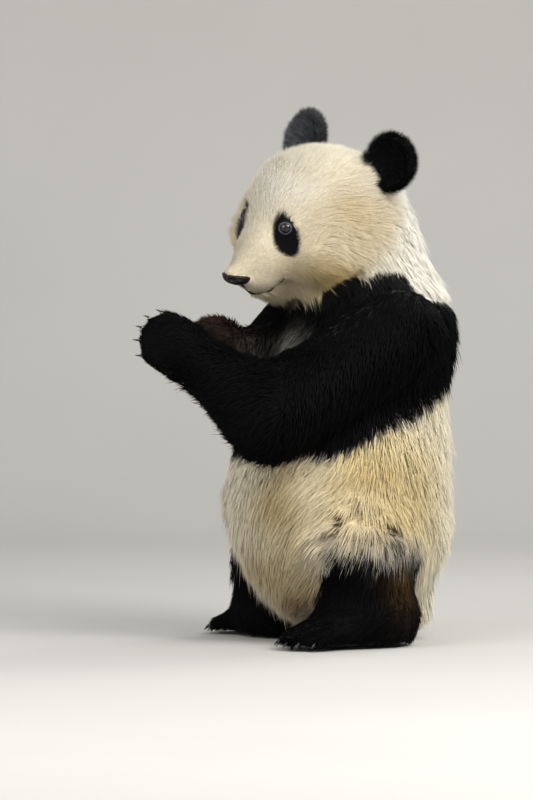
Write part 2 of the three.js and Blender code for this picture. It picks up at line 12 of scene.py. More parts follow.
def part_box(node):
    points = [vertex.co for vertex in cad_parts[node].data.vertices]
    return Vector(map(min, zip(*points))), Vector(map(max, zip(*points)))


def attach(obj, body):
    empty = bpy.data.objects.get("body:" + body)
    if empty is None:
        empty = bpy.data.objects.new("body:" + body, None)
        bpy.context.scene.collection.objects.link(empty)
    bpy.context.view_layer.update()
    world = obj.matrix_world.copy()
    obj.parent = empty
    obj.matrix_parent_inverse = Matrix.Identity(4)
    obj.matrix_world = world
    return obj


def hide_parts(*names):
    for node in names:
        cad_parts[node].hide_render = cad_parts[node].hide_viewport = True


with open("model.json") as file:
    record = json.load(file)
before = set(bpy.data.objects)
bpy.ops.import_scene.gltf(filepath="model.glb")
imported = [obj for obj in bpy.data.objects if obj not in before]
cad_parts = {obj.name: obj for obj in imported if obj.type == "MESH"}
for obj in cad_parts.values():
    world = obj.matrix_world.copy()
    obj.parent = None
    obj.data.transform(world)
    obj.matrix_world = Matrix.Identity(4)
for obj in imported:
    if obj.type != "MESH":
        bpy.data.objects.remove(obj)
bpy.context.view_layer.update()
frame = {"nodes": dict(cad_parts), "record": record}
mm = 0.001
sides = ("left", "right")
rng = np.random.default_rng(11)
slotOf = {part["node"]: part["material_slot"] for part in frame["record"]["subparts"]}
fleshNodes = [node for node in frame["nodes"] if slotOf[node] in ("white_coat", "black_coat")]


# small helpers

def toLinear(hexText):
    parts = [int(hexText[i:i + 2], 16) / 255 for i in (1, 3, 5)]
    return [c / 12.92 if c <= 0.04045 else ((c + 0.055) / 1.055) ** 2.4 for c in parts]


def addLinks(tree, node, links):
    for name, source in links.items():
        tree.links.new(source, node.inputs[name])


def addNode(tree, kind, settings=None, links=None):
    node = tree.nodes.new("ShaderNode" + kind)
    for name, value in (settings or {}).items():
        if isinstance(name, int) or name in node.inputs:
            node.inputs[name].default_value = value
        else:
            setattr(node, name, value)
    addLinks(tree, node, links or {})
    return node


def newMaterial(name, shaderSettings):
    material = bpy.data.materials.new(name)
    material.use_nodes = True
    tree = material.node_tree
    tree.nodes.clear()
    shader = addNode(tree, "BsdfPrincipled", shaderSettings)
    addNode(tree, "OutputMaterial", links={"Surface": shader.outputs["BSDF"]})
    return material, tree, shader


def patternedMaterial(name, shine, kind, size, stops, rough=None, bump=None, rings=None, **detail):
    # a pattern of a real size colours the surface, and may roughen and raise it. With rings (an attribute of
    # the mesh and a share), the colours follow that attribute and the pattern only mottles them
    material, tree, shader = newMaterial(name, shine)
    place = addNode(tree, "TexCoord")
    pattern = addNode(tree, kind, {"Scale": 1 / size, **detail}, {"Vector": place.outputs["Object"]})
    value = guide = pattern.outputs["Distance" if kind == "TexVoronoi" else "Fac"]
    if rings:
        guide = addNode(tree, "Attribute", {"attribute_name": rings[0]}).outputs["Fac"]
    ramp = addNode(tree, "ValToRGB", links={"Fac": guide})
    for i, (at, tone) in enumerate(stops):
        stop = ramp.color_ramp.elements[i] if i < 2 else ramp.color_ramp.elements.new(at)
        stop.position, stop.color = at, (*toLinear(tone), 1)
    made = {"Base Color": ramp.outputs["Color"]}
    if rings:
        mottled = addNode(tree, "Mix", {"data_type": "RGBA", "blend_type": "MULTIPLY", 0: rings[1]},
                          {6: ramp.outputs["Color"], 7: pattern.outputs["Color"]})
        made["Base Color"] = mottled.outputs[2]
    if rough:
        spread = addNode(tree, "MapRange", {"To Min": rough[0], "To Max": rough[1]}, {"Value": value})
        made["Roughness"] = spread.outputs["Result"]
    if bump:
        raised = addNode(tree, "Bump", {"Strength": bump[0], "Distance": bump[1]}, {"Height": value})
        made["Normal"] = raised.outputs["Normal"]
    addLinks(tree, shader, made)
    return material


def unit(vectors):
    return vectors / np.maximum(np.linalg.norm(vectors, axis=-1, keepdims=True), 1e-9)


def smoothStep(low, high, x):
    t = np.clip((x - low) / (high - low), 0, 1)
    return t * t * (3 - 2 * t)


def onLeft(points):  # the right side laid over the left
    return np.column_stack([np.abs(points[:, 0]), points[:, 1:]])


def reachesFrom(place, reach, points):  # how many reaches off the points are, with place and reach in mm
    return np.linalg.norm((points / mm - np.array(place)) / np.array(reach), axis=1)


def patchy(points, cell, seed):  # smooth noise from -1 to 1, its lumps about a cell apart
    scaled = points / cell
    base = np.floor(scaled).astype(np.int64)
    t = scaled - base
    t = t * t * (3 - 2 * t)
    total = np.zeros(len(points))
    for corner in range(8):
        offset = np.array([corner & 1, corner >> 1 & 1, corner >> 2 & 1])
        x, y, z = (base + offset).T
        mixed = (x * 73856093) ^ (y * 19349663) ^ (z * 83492791) ^ (seed * 2654435761)
        mixed = (mixed ^ (mixed >> 13)) * 1274126177 & 0x7FFFFFFF
        weight = np.prod(np.where(offset == 1, t, 1 - t), axis=1)
        total += weight * (mixed % 65536 / 32767.5 - 1)
    return total


def addObject(name, data):
    made = bpy.data.objects.new(name, data)
    bpy.context.scene.collection.objects.link(made)
    return made


def newPiece(mesh, material):
    mesh.materials.append(material)
    piece = addObject(mesh.name, mesh)
    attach(piece, "root")
    return piece


def meshFrom(bm, name, smooth=True):
    mesh = bpy.data.meshes.new(name)
    bm.to_mesh(mesh)
    bm.free()
    mesh.polygons.foreach_set("use_smooth", [smooth] * len(mesh.polygons))
    return mesh


def nodeCentre(node):
    low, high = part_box(node)
    return (low + high) / 2


def meeting(nodeA, nodeB):  # the middle of the face where two nodes meet
    tree = BVHTree.FromObject(frame["nodes"][nodeB], bpy.context.evaluated_depsgraph_get())
    points = np.array([vert.co for vert in frame["nodes"][nodeA].data.vertices])
    gaps = np.array([tree.find_nearest(point)[3] for point in points])
    return Vector(np.mean(points[gaps < gaps.min() + 2 * mm], axis=0))


# the nose pad, in the head's own frame in mm: the white muzzle comes down over its upper edge

nose = {
    "at": (0, -156.5, -88), "radii": (24.5, 25.5, 15.5), "topEdge": -84, "top": 0.3,
    "nostril": (12, -92), "nostrilRadius": 6.5, "nostrilDepth": 6, "nostrilFlat": 0.62, "nostrilTilt": 0.25,
    "wing": (21, -90), "wingReach": (2.2, 3.0), "wingDepth": 2.2, "grooveWide": 1.6, "grooveDepth": 1.6,
}

# the head's own frame: origin in the middle of the skull, -Y to the nose, +X to its left

headPlaces = {
    "eyesAhead": 105 * mm, "eyesBelow": 5 * mm,
    "noseAhead": 157 * mm, "noseBelow": 86 * mm,
}


def headMatrix():
    left, right, nose = (nodeCentre(node) for node in ("eye_left", "eye_right", "nose"))
    middle = (left + right) / 2
    across = (left - right).normalized()
    drop = nose - middle
    drop -= across * drop.dot(across)
    ahead = headPlaces["noseAhead"] - headPlaces["eyesAhead"]
    below = headPlaces["noseBelow"] - headPlaces["eyesBelow"]
    back = (drop * -ahead + across.cross(drop) * below) / (ahead * ahead + below * below)
    back.normalize()
    top = across.cross(back)
    origin = middle + back * headPlaces["eyesAhead"] + top * headPlaces["eyesBelow"]
    matrix = Matrix((across, back, top)).transposed().to_4x4()
    matrix.translation = origin
    return matrix


head = headMatrix()
headInverse = head.inverted()


def toHead(points):
    return points @ np.array(headInverse.to_3x3()).T + np.array(headInverse.translation)


def fromHead(points):
    return points @ np.array(head.to_3x3()).T + np.array(head.translation)


# camera: a long lens, level with the animal, from its left front

cameraView = {
    "azimuth": 68, "elevation": 2, "eyeDistance": 8.862, "lens": 253.1, "sensor": 36,
    "frame": (533, 800), "eyePixel": (285.9, 227.5),
}


def addCamera():
    azimuth, elevation = math.radians(cameraView["azimuth"]), math.radians(cameraView["elevation"])
    back = Vector((math.sin(azimuth) * math.cos(elevation), -math.cos(azimuth) * math.cos(elevation),
                   math.sin(elevation)))
    right = Vector((math.cos(azimuth), math.sin(azimuth), 0))
    up = back.cross(right)
    wide, high = cameraView["frame"]
    perPixel = cameraView["eyeDistance"] * cameraView["sensor"] / cameraView["lens"] / high
    eyeX, eyeY = cameraView["eyePixel"]
    place = nodeCentre("eye_left") + back * cameraView["eyeDistance"]
    place += right * (wide / 2 - eyeX) * perPixel + up * (eyeY - high / 2) * perPixel
    data = bpy.data.cameras.new("camera")
    data.lens, data.sensor_width, data.clip_end = cameraView["lens"], cameraView["sensor"], 60
    camera = addObject("camera", data)
    camera.matrix_world = Matrix((right, up, back)).transposed().to_4x4()
    camera.location = place
    bpy.context.scene.camera = camera
    return back, right


viewBack, viewRight = addCamera()
print("camera placed")


# the coat, part by part: depth of the coat, length and width of a tuft in mm, how far it stands off in
# degrees, tufts on a square centimetre, and how strongly tufts gather into locks

coat = {
    "head": (8, 15, 1.0, 29, 40, 0.24),
    "ear": (6, 12, 1.1, 42, 34, 0.12),
    "neck": (19, 33, 1.2, 23, 18, 0.12),
    "chest": (19, 34, 1.7, 26, 7.2, 0.3),
    "abdomen": (22, 40, 1.25, 25, 12.9, 0.18),
    "tail": (13, 34, 1.5, 34, 12, 0.4),
    "upper_arm": (17, 29, 1.6, 25, 9, 0.25),
    "forearm": (14, 25, 1.5, 25, 10, 0.25),
    "forepaw": (6, 12, 1.3, 24, 15, 0.2),
    "thigh": (22, 38, 1.2, 23, 17, 0.2),
    "shin": (17, 29, 1.5, 25, 10, 0.3),
    "hindfoot": (7, 15, 1.4, 23, 12, 0.2),
}
kindOf = {node: node.replace("_left", "").replace("_right", "") for node in fleshNodes}

skinShape = {"grow": 0.7 * mm, "voxel": 4.6 * mm, "smoothing": 6, "steps": 4, "evening": 30}


def joinedFlesh():
    bm = bmesh.new()
    for node in fleshNodes + ["nose"]:
        part = bmesh.new()
        part.from_mesh(frame["nodes"][node].data)
        bmesh.ops.remove_doubles(part, verts=part.verts, dist=1e-5)
        part.normal_update()
        for vert in part.verts:
            vert.co += vert.normal * skinShape["grow"]
        copy = bpy.data.meshes.new(node)
        part.to_mesh(copy)
        part.free()
        bm.from_mesh(copy)
        bpy.data.meshes.remove(copy)
    for side in sides:  # the eye's place is filled here, and opened again under the lids
        centre = nodeCentre(f"eye_{side}")
        bmesh.ops.create_icosphere(bm, subdivisions=3, radius=13 * mm, matrix=Matrix.Translation(centre))
    return meshFrom(bm, "flesh")


def outerShell(bm):  # keeps the surface that holds the highest point, without the sealed gaps between pieces
    top = max(bm.verts, key=lambda vert: vert.co.z)
    shell, edge = {top}, [top]
    while edge:
        vert = edge.pop()
        fresh = {link.other_vert(vert) for link in vert.link_edges} - shell
        shell |= fresh
        edge += fresh
    bmesh.ops.delete(bm, geom=[vert for vert in bm.verts if vert not in shell], context="VERTS")


def remeshedFlesh():
    blank = addObject("flesh", joinedFlesh())
    remesh = blank.modifiers.new("remesh", "REMESH")
    remesh.mode, remesh.voxel_size, remesh.use_smooth_shade = "VOXEL", skinShape["voxel"], True
    depsgraph = bpy.context.evaluated_depsgraph_get()
    bm = bmesh.new()
    bm.from_mesh(blank.evaluated_get(depsgraph).data)
    bpy.data.objects.remove(blank)
    outerShell(bm)
    smoothing = {"factor": 0.5, "use_axis_x": True, "use_axis_y": True, "use_axis_z": True}
    for _ in range(skinShape["smoothing"]):
        bmesh.ops.smooth_vert(bm, verts=bm.verts, **smoothing)
    bmesh.ops.triangulate(bm, faces=bm.faces)
    bm.normal_update()
    return bm


class Surface:  # the skin's points, normals, triangles and neighbours as arrays
    def __init__(self, bm):
        bm.verts.ensure_lookup_table()
        self.points = np.array([vert.co for vert in bm.verts])
        self.triangles = np.array([[vert.index for vert in face.verts] for face in bm.faces])
        self.edges = np.array([[vert.index for vert in edge.verts] for edge in bm.edges])
        self.refresh()

    def refresh(self):
        a, b, c = (self.points[self.triangles[:, i]] for i in range(3))
        faceNormals = np.cross(b - a, c - a)
        self.areas = np.linalg.norm(faceNormals, axis=1) / 2
        normals = np.zeros_like(self.points)
        for i in range(3):
            np.add.at(normals, self.triangles[:, i], faceNormals)
        self.normals = unit(normals)

    def nearest(self, points):  # the place on the surface, its normal, its triangle and the gap
        tree = BVHTree.FromPolygons([Vector(point) for point in self.points], self.triangles.tolist())
        return [tree.find_nearest(Vector(point)) for point in points]

    def evened(self, values, rounds, share=0.5):  # values averaged with their neighbours'
        values = np.array(values, float)
        starts, ends = self.edges.T
        count = np.bincount(self.edges.ravel(), minlength=len(self.points)).astype(float)
        shape = (-1,) + (1,) * (values.ndim - 1)
        for _ in range(rounds):
            total = np.zeros_like(values)
            np.add.at(total, starts, values[ends])
            np.add.at(total, ends, values[starts])
            values = values * (1 - share) + total / count.reshape(shape) * share
        return values


def nearestParts(points):  # which node each point is on, and how far inside the white coat it lies
    verts, tris, owner = [], [], []
    for index, node in enumerate(fleshNodes):
        mesh = frame["nodes"][node].data
        start = len(verts)
        verts += [vert.co.copy() for vert in mesh.vertices]
        tris += [[start + i for i in polygon.vertices] for polygon in mesh.polygons]
        owner += [index] * len(mesh.polygons)
    owner = np.array(owner)
    whole = BVHTree.FromPolygons(verts, tris)
    parts = owner[[whole.find_nearest(point)[2] for point in points]]
    isWhite = np.array([slotOf[node] == "white_coat" for node in fleshNodes])[owner]
    gaps = []
    for keep in (isWhite, ~isWhite):
        tree = BVHTree.FromPolygons(verts, [tri for tri, kept in zip(tris, keep) if kept])
        gaps.append(np.array([tree.find_nearest(point)[3] for point in points]))
    return parts, gaps[1] - gaps[0]


# folds of the skin: how deep, whether the coat above hangs over it, and its line in mm. The flank wrinkles
# where it rests on the near leg, short valleys part the hair below, and there is one at groin and at cheek

folds = {
    "upper": (1.0, True, ((205, 9, 213), (216, 27, 218), (220, 39, 220), (223, 58, 226))),
    "notch": (0.7, True, ((218, 50, 234), (222, 55, 226))),
    "dimple": (0.6, True, ((224, 73, 231), (224, 79, 230))),
    "middle": (1.0, True, ((225, 48, 211), (229, 60, 211), (229, 72, 215), (230, 80, 214), (231, 93, 208),
                           (237, 103, 201), (238, 119, 193))),
    "lower": (0.8, True, ((200, -9, 178), (213, -1, 187), (220, 8, 195), (223, 21, 199))),
    "valleyFront": (0.3, False, ((225, 15, 191), (222, 15, 169))),
    "valleyOne": (0.45, False, ((233, 48, 194), (234, 40, 176), (232, 39, 159))),
    "valleyTwo": (0.45, False, ((242, 65, 191), (244, 64, 176), (243, 68, 158))),
    "valleyBack": (0.3, False, ((240, 81, 184), (245, 82, 173))),
    "groin": (0.5, False, ((62, 8, 41), (84, 6, 50), (106, 12, 58))),
    "jowl": (0.4, False, ((142, 102, 607), (140, 86, 591), (132, 69, 571))),
}
foldShape = {
    "groove": 8 * mm, "wide": 6 * mm, "ridge": 7 * mm, "ridgeOff": 14 * mm, "ridgeWide": 9 * mm,
    "ends": 0.15, "endDepth": 0.6,  # the share of its line over which an end fades, and how deep it is there
    "shadeWide": 4.5 * mm, "shade": (0.62, 0.66, 0.7),  # how far and how strongly the roots are darkened: painted shade in the folds
    "hairAbove": 15, "hairBelow": 28,  # how far hair reaches past a fold, in mm
}


def alongLine(points, step):  # evenly spaced places on a line of corners
    points = np.array(points, float)
    lengths = np.linalg.norm(np.diff(points, axis=0), axis=1)
    at = np.append(0, np.cumsum(lengths))
    places = np.linspace(0, at[-1], int(at[-1] / step) + 2)
    return np.column_stack([np.interp(places, at, points[:, i]) for i in range(3)])


def nearestHits(targets, points):  # which target is nearest each point, and how far off it is
    tree = kdtree.KDTree(len(targets))
    for i, target in enumerate(targets):
        tree.insert(target, i)
    tree.balance()
    found = [tree.find(point) for point in points]
    return np.array([hit[1] for hit in found]), np.array([hit[2] for hit in found])


def foldLines():  # every fold's line laid onto the surface
    found = []
    for number, (depth, hanging, corners) in enumerate(folds.values()):
        line = alongLine(corners, 2) * mm
        along = np.linspace(0, 1, len(line))
        whole = smoothStep(0, foldShape["ends"], np.minimum(along, 1 - along))
        depths = depth * (foldShape["endDepth"] + (1 - foldShape["endDepth"]) * whole)
        found += [(hit[0], deep, hanging, number) for hit, deep in zip(skin.nearest(line), depths)]
    return [np.array(values) for values in zip(*found)]


def foldFields(points):  # distance to the nearest fold, its depth, and whether the coat here hangs over it
    nearest, gap = nearestHits(foldPlaces, points)
    above = (points[:, 2] > foldPlaces[nearest, 2]) & foldHangs[nearest]
    return gap, foldDepths[nearest], above


haunches = {  # where the skin is smoothed: the place and its reach in mm, and how often
    "near": ((195, 40, 160), (125, 160, 115), 26),
    "far": ((-195, 40, 160), (125, 160, 115), 26),
    "farKnee": ((-145, -20, 172), (80, 75, 66), 100),
}


def calmHaunches():  # the solids' few broad locks over the hind legs go, since the coat grows its own
    for place, reach, rounds in haunches.values():
        share = smoothStep(1, 0.75, reachesFrom(place, reach, skin.points))[:, None]
        for _ in range(rounds):
            skin.points = skin.points + (skin.evened(skin.points, 1) - skin.points) * share
    skin.refresh()


fleshMesh = remeshedFlesh()
skin = Surface(fleshMesh)
calmHaunches()
foldPlaces, foldDepths, foldHangs, foldNumbers = foldLines()
outer = skin.points.copy()
outerNormals = skin.normals.copy()
part, whiteness = nearestParts(outer)
kinds = np.array([kindOf[node] for node in fleshNodes])[part]
isLeft = np.array([node.endswith("_left") for node in fleshNodes])[part]
isHead, isThigh, isEar = (kinds == kind for kind in ("head", "thigh", "ear"))
inHead = toHead(outer)
print("flesh remeshed:", len(outer), "points")


# markings: black and white, with the tints between them

face = {
    "patchHeight": -15 * mm, "patchTurn": math.radians(26.7), "patchLean": math.radians(0.12) / mm,
    "patchHalfWidth": 21 * mm, "patchHalfHeight": 34.5 * mm, "patchWider": (1.1, 0.85),  # left and right
    "noseTip": (0, -170 * mm, -84 * mm),
}
ruff = {"low": 0.5, "high": 0.61, "back": 0.17, "from": (-5 * mm, 40 * mm), "rise": 17 * mm}
leg = {  # where the white hair ends over the hind legs
    "height": 130 * mm, "farHigher": 45 * mm, "backHigher": 38 * mm, "uneven": 8 * mm, "ragged": 6 * mm,
    "front": 58 * mm, "back": (55 * mm, 100 * mm), "mixedOver": (12 * mm, -30 * mm), "mixing": 20 * mm,
}
rootShade = {"head": (0.87, 0.83, 0.76), "body": (1.0, 0.97, 0.93)}  # roots against tips: darker on the head, painted shade deep in the coat; on the body nearly as light as the tips
hues = {
    "white": "#ece3cc", "snow": "#f4eee0", "cream": "#e2d0a2", "tan": "#bb9947", "dun": "#b3a077",
    "muzzle": "#d3c9b2", "fawn": "#c4b69c", "sand": "#a8946c", "umber": "#6e4f2e", "dusk": "#5c452c",
    "brown": "#6e5344", "black": "#040405", "charcoal": "#0a0a0c", "slate": "#77787c", "ash": "#8a8378",
    "smoke": "#8f8b84", "lip": "#1d120c",
}
hue = {name: np.array(toLinear(text)) for name, text in hues.items()}
bodyMiddle = nodeCentre("abdomen")

# soft-edged tints: the hue, where it is strongest, how far it reaches each way in mm, and its strength
headTints = {  # in the head's own frame, on both sides
    "temple": ("tan", (112, -16, 26), (76, 84, 62), 0.55),
    "cheek": ("tan", (86, -42, -76), (66, 66, 44), 1.0),
    "jaw": ("tan", (0, -70, -125), (70, 60, 26), 0.55),
    "ruff": ("ash", (112, -8, -72), (22, 14, 22), 0.6),
    "lip": ("umber", (40, -98, -98), (9, 12, 9), 0.6),
}
bodyTints = {
    "flank": ("tan", (215, 70, 265), (90, 110, 62), 0.5),
    "hip": ("tan", (228, 140, 160), (60, 70, 110), 0.5),
    # groin: partly the coat's own brown, partly painted shade between the hind legs
    "groin": ("umber", (105, 0, 62), (88, 66, 44), 1.1),
    # lap: partly the coat's own dun, partly painted shade on the front of the belly
    "lap": ("dun", (140, -62, 215), (100, 60, 90), 0.95),
    "under": ("sand", (90, -60, 110), (120, 90, 60), 0.75),
}
darkTints = {
    "bib": ("smoke", (42, -20, 478), (40, 40, 26), 1.0),
    "legBack": ("dusk", (226, 142, 118), (36, 34, 60), 0.8),
    "farPaw": ("brown", (-30, -100, 500), (50, 50, 50), 0.9),
    "farEar": ("slate", (-80, 20, 830), (70, 70, 70), 1.0),
}


def mixed(base, other, share):
    return base + (other - base) * np.clip(share, 0, 1)[:, None]


def tinted(colours, points, table, amount):
    for name, place, reach, strength in table.values():
        share = amount * strength * np.exp(-reachesFrom(place, reach, points) ** 2)
        colours = mixed(colours, hue[name], share)
    return colours


def fromNose(local):
    return np.linalg.norm(local - np.array(face["noseTip"]), axis=1)


def eyePatch(local):  # above 0 inside the black patch round each eye
    turn = np.arctan2(np.abs(local[:, 0]), -local[:, 1])
    out = np.hypot(local[:, 0], local[:, 1])
    rise = local[:, 2] - face["patchHeight"]
    across = (turn - face["patchTurn"] + rise * face["patchLean"]) * out
    wide, wideRight = face["patchWider"]
    wide = face["patchHalfWidth"] * np.where(local[:, 0] < 0, wideRight, wide)
    size = np.hypot(across / wide, rise / face["patchHalfHeight"])
    return np.where(local[:, 1] < -40 * mm, (1 - size) * face["patchHalfWidth"], -1)


def ruffRise(points):  # the black of the shoulders climbs a little way up the cheek and the neck
    _, y, z = points.T
    inRuff = (z < ruff["high"]) & (z > ruff["low"]) & (y < ruff["back"])
    return inRuff * smoothStep(*ruff["from"], y) * ruff["rise"]


def turnOf(points):  # 0 in front of the body, pi behind it, below 0 on its right
    return np.arctan2(points[:, 0] - bodyMiddle.x, -(points[:, 1] - bodyMiddle.y))


def markings(points, local, whiteGap, kind, scatter):  # colours at the tips and the roots, and the blackness
    broad, fine = patchy(points, 60 * mm, 1), patchy(points, 9 * mm, 2)
    onHead, onThigh = kind == "head", kind == "thigh"
    onLeg, onBody = np.isin(kind, ("thigh", "shin")), np.isin(kind, ("abdomen", "thigh", "tail"))
    z = points[:, 2]
    # black and white: the part's own colour, then the eye patches, then the ragged edge over the hind legs
    white = np.where(kind == "ear", -10 * mm, whiteGap) - ruffRise(points)
    white = np.where(onHead, np.minimum(white, -eyePatch(local)), white)
    edge = np.where(onHead, 1.4 * mm, 6 * mm)
    back = 0.375 * np.abs(points[:, 0]) + 0.927 * points[:, 1] + leg["ragged"] * scatter
    overLeg = z - leg["height"] - leg["farHigher"] * (points[:, 0] < 0)
    overLeg -= leg["backHigher"] * smoothStep(*leg["back"], back) + leg["uneven"] * broad
    inFront = (back < leg["front"]) & (points[:, 0] > 0)
    overLeg = np.where(onThigh & inFront, 40 * mm, overLeg)
    white = np.where(onLeg, overLeg, white)
    black = smoothStep(1, -1, (white + fine * edge) / edge)
    mixedHair = smoothStep(*leg["mixedOver"], overLeg + scatter * leg["mixing"])
    black = np.where(onLeg & ~inFront, smoothStep(0.35, 0.65, mixedHair), black)
    # tints of the white hair
    # the forehead band, the back of the neck and the back of the head get a whiter white: partly the coat's
    # own, partly painted light
    up = smoothStep(-20 * mm, 80 * mm, local[:, 2]) * smoothStep(95 * mm, 60 * mm, local[:, 2])
    flank = np.exp(-((np.abs(turnOf(points)) - 1.6) / 0.9) ** 2)
    cloudy = 1 + 0.25 * broad
    whites = np.tile(hue["white"], (len(points), 1))
    for name, share in (
            ("snow", onHead * up),
            ("snow", (kind == "neck") * smoothStep(0.1, 0.2, points[:, 1])),
            ("snow", onHead * smoothStep(40 * mm, 100 * mm, local[:, 1])),
            ("cream", onBody * flank * (0.75 + 0.3 * broad))):
        whites = mixed(whites, hue[name], share)
    whites = tinted(whites, onLeft(local), headTints, onHead * cloudy)
    whites = tinted(whites, onLeft(points), bodyTints, onBody * cloudy)
    for name, share in (
            ("muzzle", onHead * smoothStep(80 * mm, 45 * mm, fromNose(local))),
            ("fawn", onThigh * smoothStep(0.215, 0.195, z) * 0.8),
            ("smoke", onLeg * smoothStep(0.2, 0.16, z) * smoothStep(0.06, 0.1, back) * 0.9)):
        whites = mixed(whites, hue[name], share)
    roots = whites * np.where(onHead[:, None], rootShade["head"], rootShade["body"])
    blacks = mixed(np.tile(hue["black"], (len(points), 1)), hue["charcoal"], 0.3 + 0.4 * broad)
    blacks = tinted(blacks, points, darkTints, 0.85 + 0.4 * fine + 0.65 * scatter)
    lips = mouthDark(local) * onHead * (1.1 + 0.6 * fine)
    whites, roots = mixed(whites, hue["lip"], lips), mixed(roots, hue["lip"], lips)
    # black roots at 0.7 of the tips: painted shade deep in the coat
    return mixed(whites, blacks, black), mixed(roots, blacks * 0.7, black), black


foldGap, foldDepth, aboveFold = foldFields(outer)
grooves = np.exp(-(foldGap / foldShape["wide"]) ** 2) * foldShape["groove"]
ridges = np.exp(-((foldGap - foldShape["ridgeOff"]) / foldShape["ridgeWide"]) ** 2) * foldShape["ridge"]
foldLift = (ridges * np.where(aboveFold, 1, 0.5) - grooves) * foldDepth


# the mouth: a dark line from under the nose back to its corners, in the head's own frame in mm

mouth = {
    "line": ((0, -134, -121), (10, -129, -121.5), (16, -123, -120), (23, -113, -116.5), (32, -102, -108.5),
             (38, -98, -101), (45, -99, -91)),
    "philtrum": ((0, -156, -103), (0, -146, -110), (0, -134, -121)),
    "wide": 2.6 * mm, "groove": 3.5 * mm,
}


def mouthLines():  # both, laid onto the surface
    lines = np.vstack([alongLine(mouth["line"], 1), alongLine(mouth["philtrum"], 1)]) * mm
    mirrored = np.vstack([lines, lines * [-1, 1, 1]])
    return inHead[nearestHits(inHead, mirrored)[0]]


mouthPlaces = mouthLines()


def mouthDark(local):  # 1 on the line of the mouth
    gap = nearestHits(mouthPlaces, local)[1] if len(local) else np.zeros(0)
    return np.exp(-(gap / mouth["wide"]) ** 2)


foldLift = skin.evened(foldLift, 1) - mouthDark(inHead) * mouth["groove"]


# how the coat lies, and how deep it is

def digits(limb):  # the middle of a paw's claws
    return sum((nodeCentre(f"{limb}_claw_{i}") for i in range(1, 6)), Vector()) / 5


joints = {}
for side in sides:
    joints[side] = {
        "shoulder": meeting(f"upper_arm_{side}", "chest"),
        "elbow": meeting(f"forearm_{side}", f"upper_arm_{side}"),
        "wrist": meeting(f"forepaw_{side}", f"forearm_{side}"), "fingers": digits(f"forepaw_{side}"),
        "ankle": meeting(f"hindfoot_{side}", f"shin_{side}"), "toes": digits(f"hindfoot_{side}"),
        "ear": nodeCentre(f"ear_{side}"),
    }
down = np.array([0, 0, -1.0])
forward = np.array([0, -1.0, 0])
earUp = np.zeros(len(outer))  # how far an ear's surface faces away from its root
for side in sides:
    outward = unit(outer - np.array(joints[side]["ear"] * 0.75 + head.translation * 0.25))
    facing = np.clip(np.sum(outward * outerNormals, axis=1), 0, 1)
    earUp = np.where(isEar & (isLeft == (side == "left")), facing, earUp)
underCheek = smoothStep(22 * mm, 8 * mm, whiteness) * smoothStep(0.63, 0.61, outer[:, 2]) * isHead
knee = {"fan": (216, 48, 250), "reach": (70, 95, 80)}  # the hair fans out from here over the leg


def layOfCoat():
    lie = np.tile(down, (len(outer), 1))
    out = unit(outer - np.array(bodyMiddle))
    body = np.isin(kinds, ("abdomen", "chest", "thigh", "tail"))
    sweep = np.exp(-((np.abs(turnOf(outer)) - 0.95) / 0.5) ** 2) * smoothStep(0.4, 0.3, outer[:, 2])
    lie = np.where(body[:, None], down + forward * (sweep * 1.1)[:, None] + out * 0.1, lie)
    fromKnee = onLeft(outer) - np.array(knee["fan"]) * mm
    near = np.exp(-reachesFrom(knee["fan"], knee["reach"], onLeft(outer)) ** 2) * (fromKnee[:, 2] < 0)
    fan = unit(fromKnee * [0.2, 0.8, 1]) * np.column_stack([np.sign(outer[:, 0]), np.ones((len(outer), 2))])
    lie += fan * (near * 0.9 * body)[:, None]
    for side in sides:
        place = {name: np.array(value) for name, value in joints[side].items()}
        mine = isLeft == (side == "left")
        lanes = {
            "upper_arm": unit(place["elbow"] - place["shoulder"]) * 0.35 + down * 0.8,
            "forearm": unit(place["wrist"] - place["elbow"]) * 0.6 + down * 0.55,
            "forepaw": unit(place["fingers"] - place["wrist"]) + down * 0.12,
            "hindfoot": unit(place["toes"] - place["ankle"]) + down * 0.3,
        }
        for kind, lane in lanes.items():
            lie[(kinds == kind) & mine] = lane
        base = place["ear"] + (np.array(head.translation) - place["ear"]) * 0.25
        lie[isEar & mine] = unit(outer[isEar & mine] - base)
    headSweep = unit(inHead - np.array(face["noseTip"]))
    headSweep += np.array([0, 0.35, -0.3]) * smoothStep(-150 * mm, -60 * mm, inHead[:, 1])[:, None]
    headSweep += np.array([0, 0, -1.4]) * smoothStep(0, 80 * mm, inHead[:, 1])[:, None]
    lie[isHead] = (headSweep @ np.array(head.to_3x3()).T)[isHead]
    lie[isHead] = (lie + (down + forward * -0.3 - lie) * underCheek[:, None])[isHead]
    lie[kinds == "neck"] = down + np.array([0, 0.35, 0])
    lie = skin.evened(unit(lie), 14)
    lie -= skin.normals * np.sum(lie * skin.normals, axis=1)[:, None]
    return unit(lie)


toNose = fromNose(inHead)
tousled = isHead * smoothStep(95 * mm, 150 * mm, toNose) * smoothStep(30 * mm, 0, inHead[:, 2])


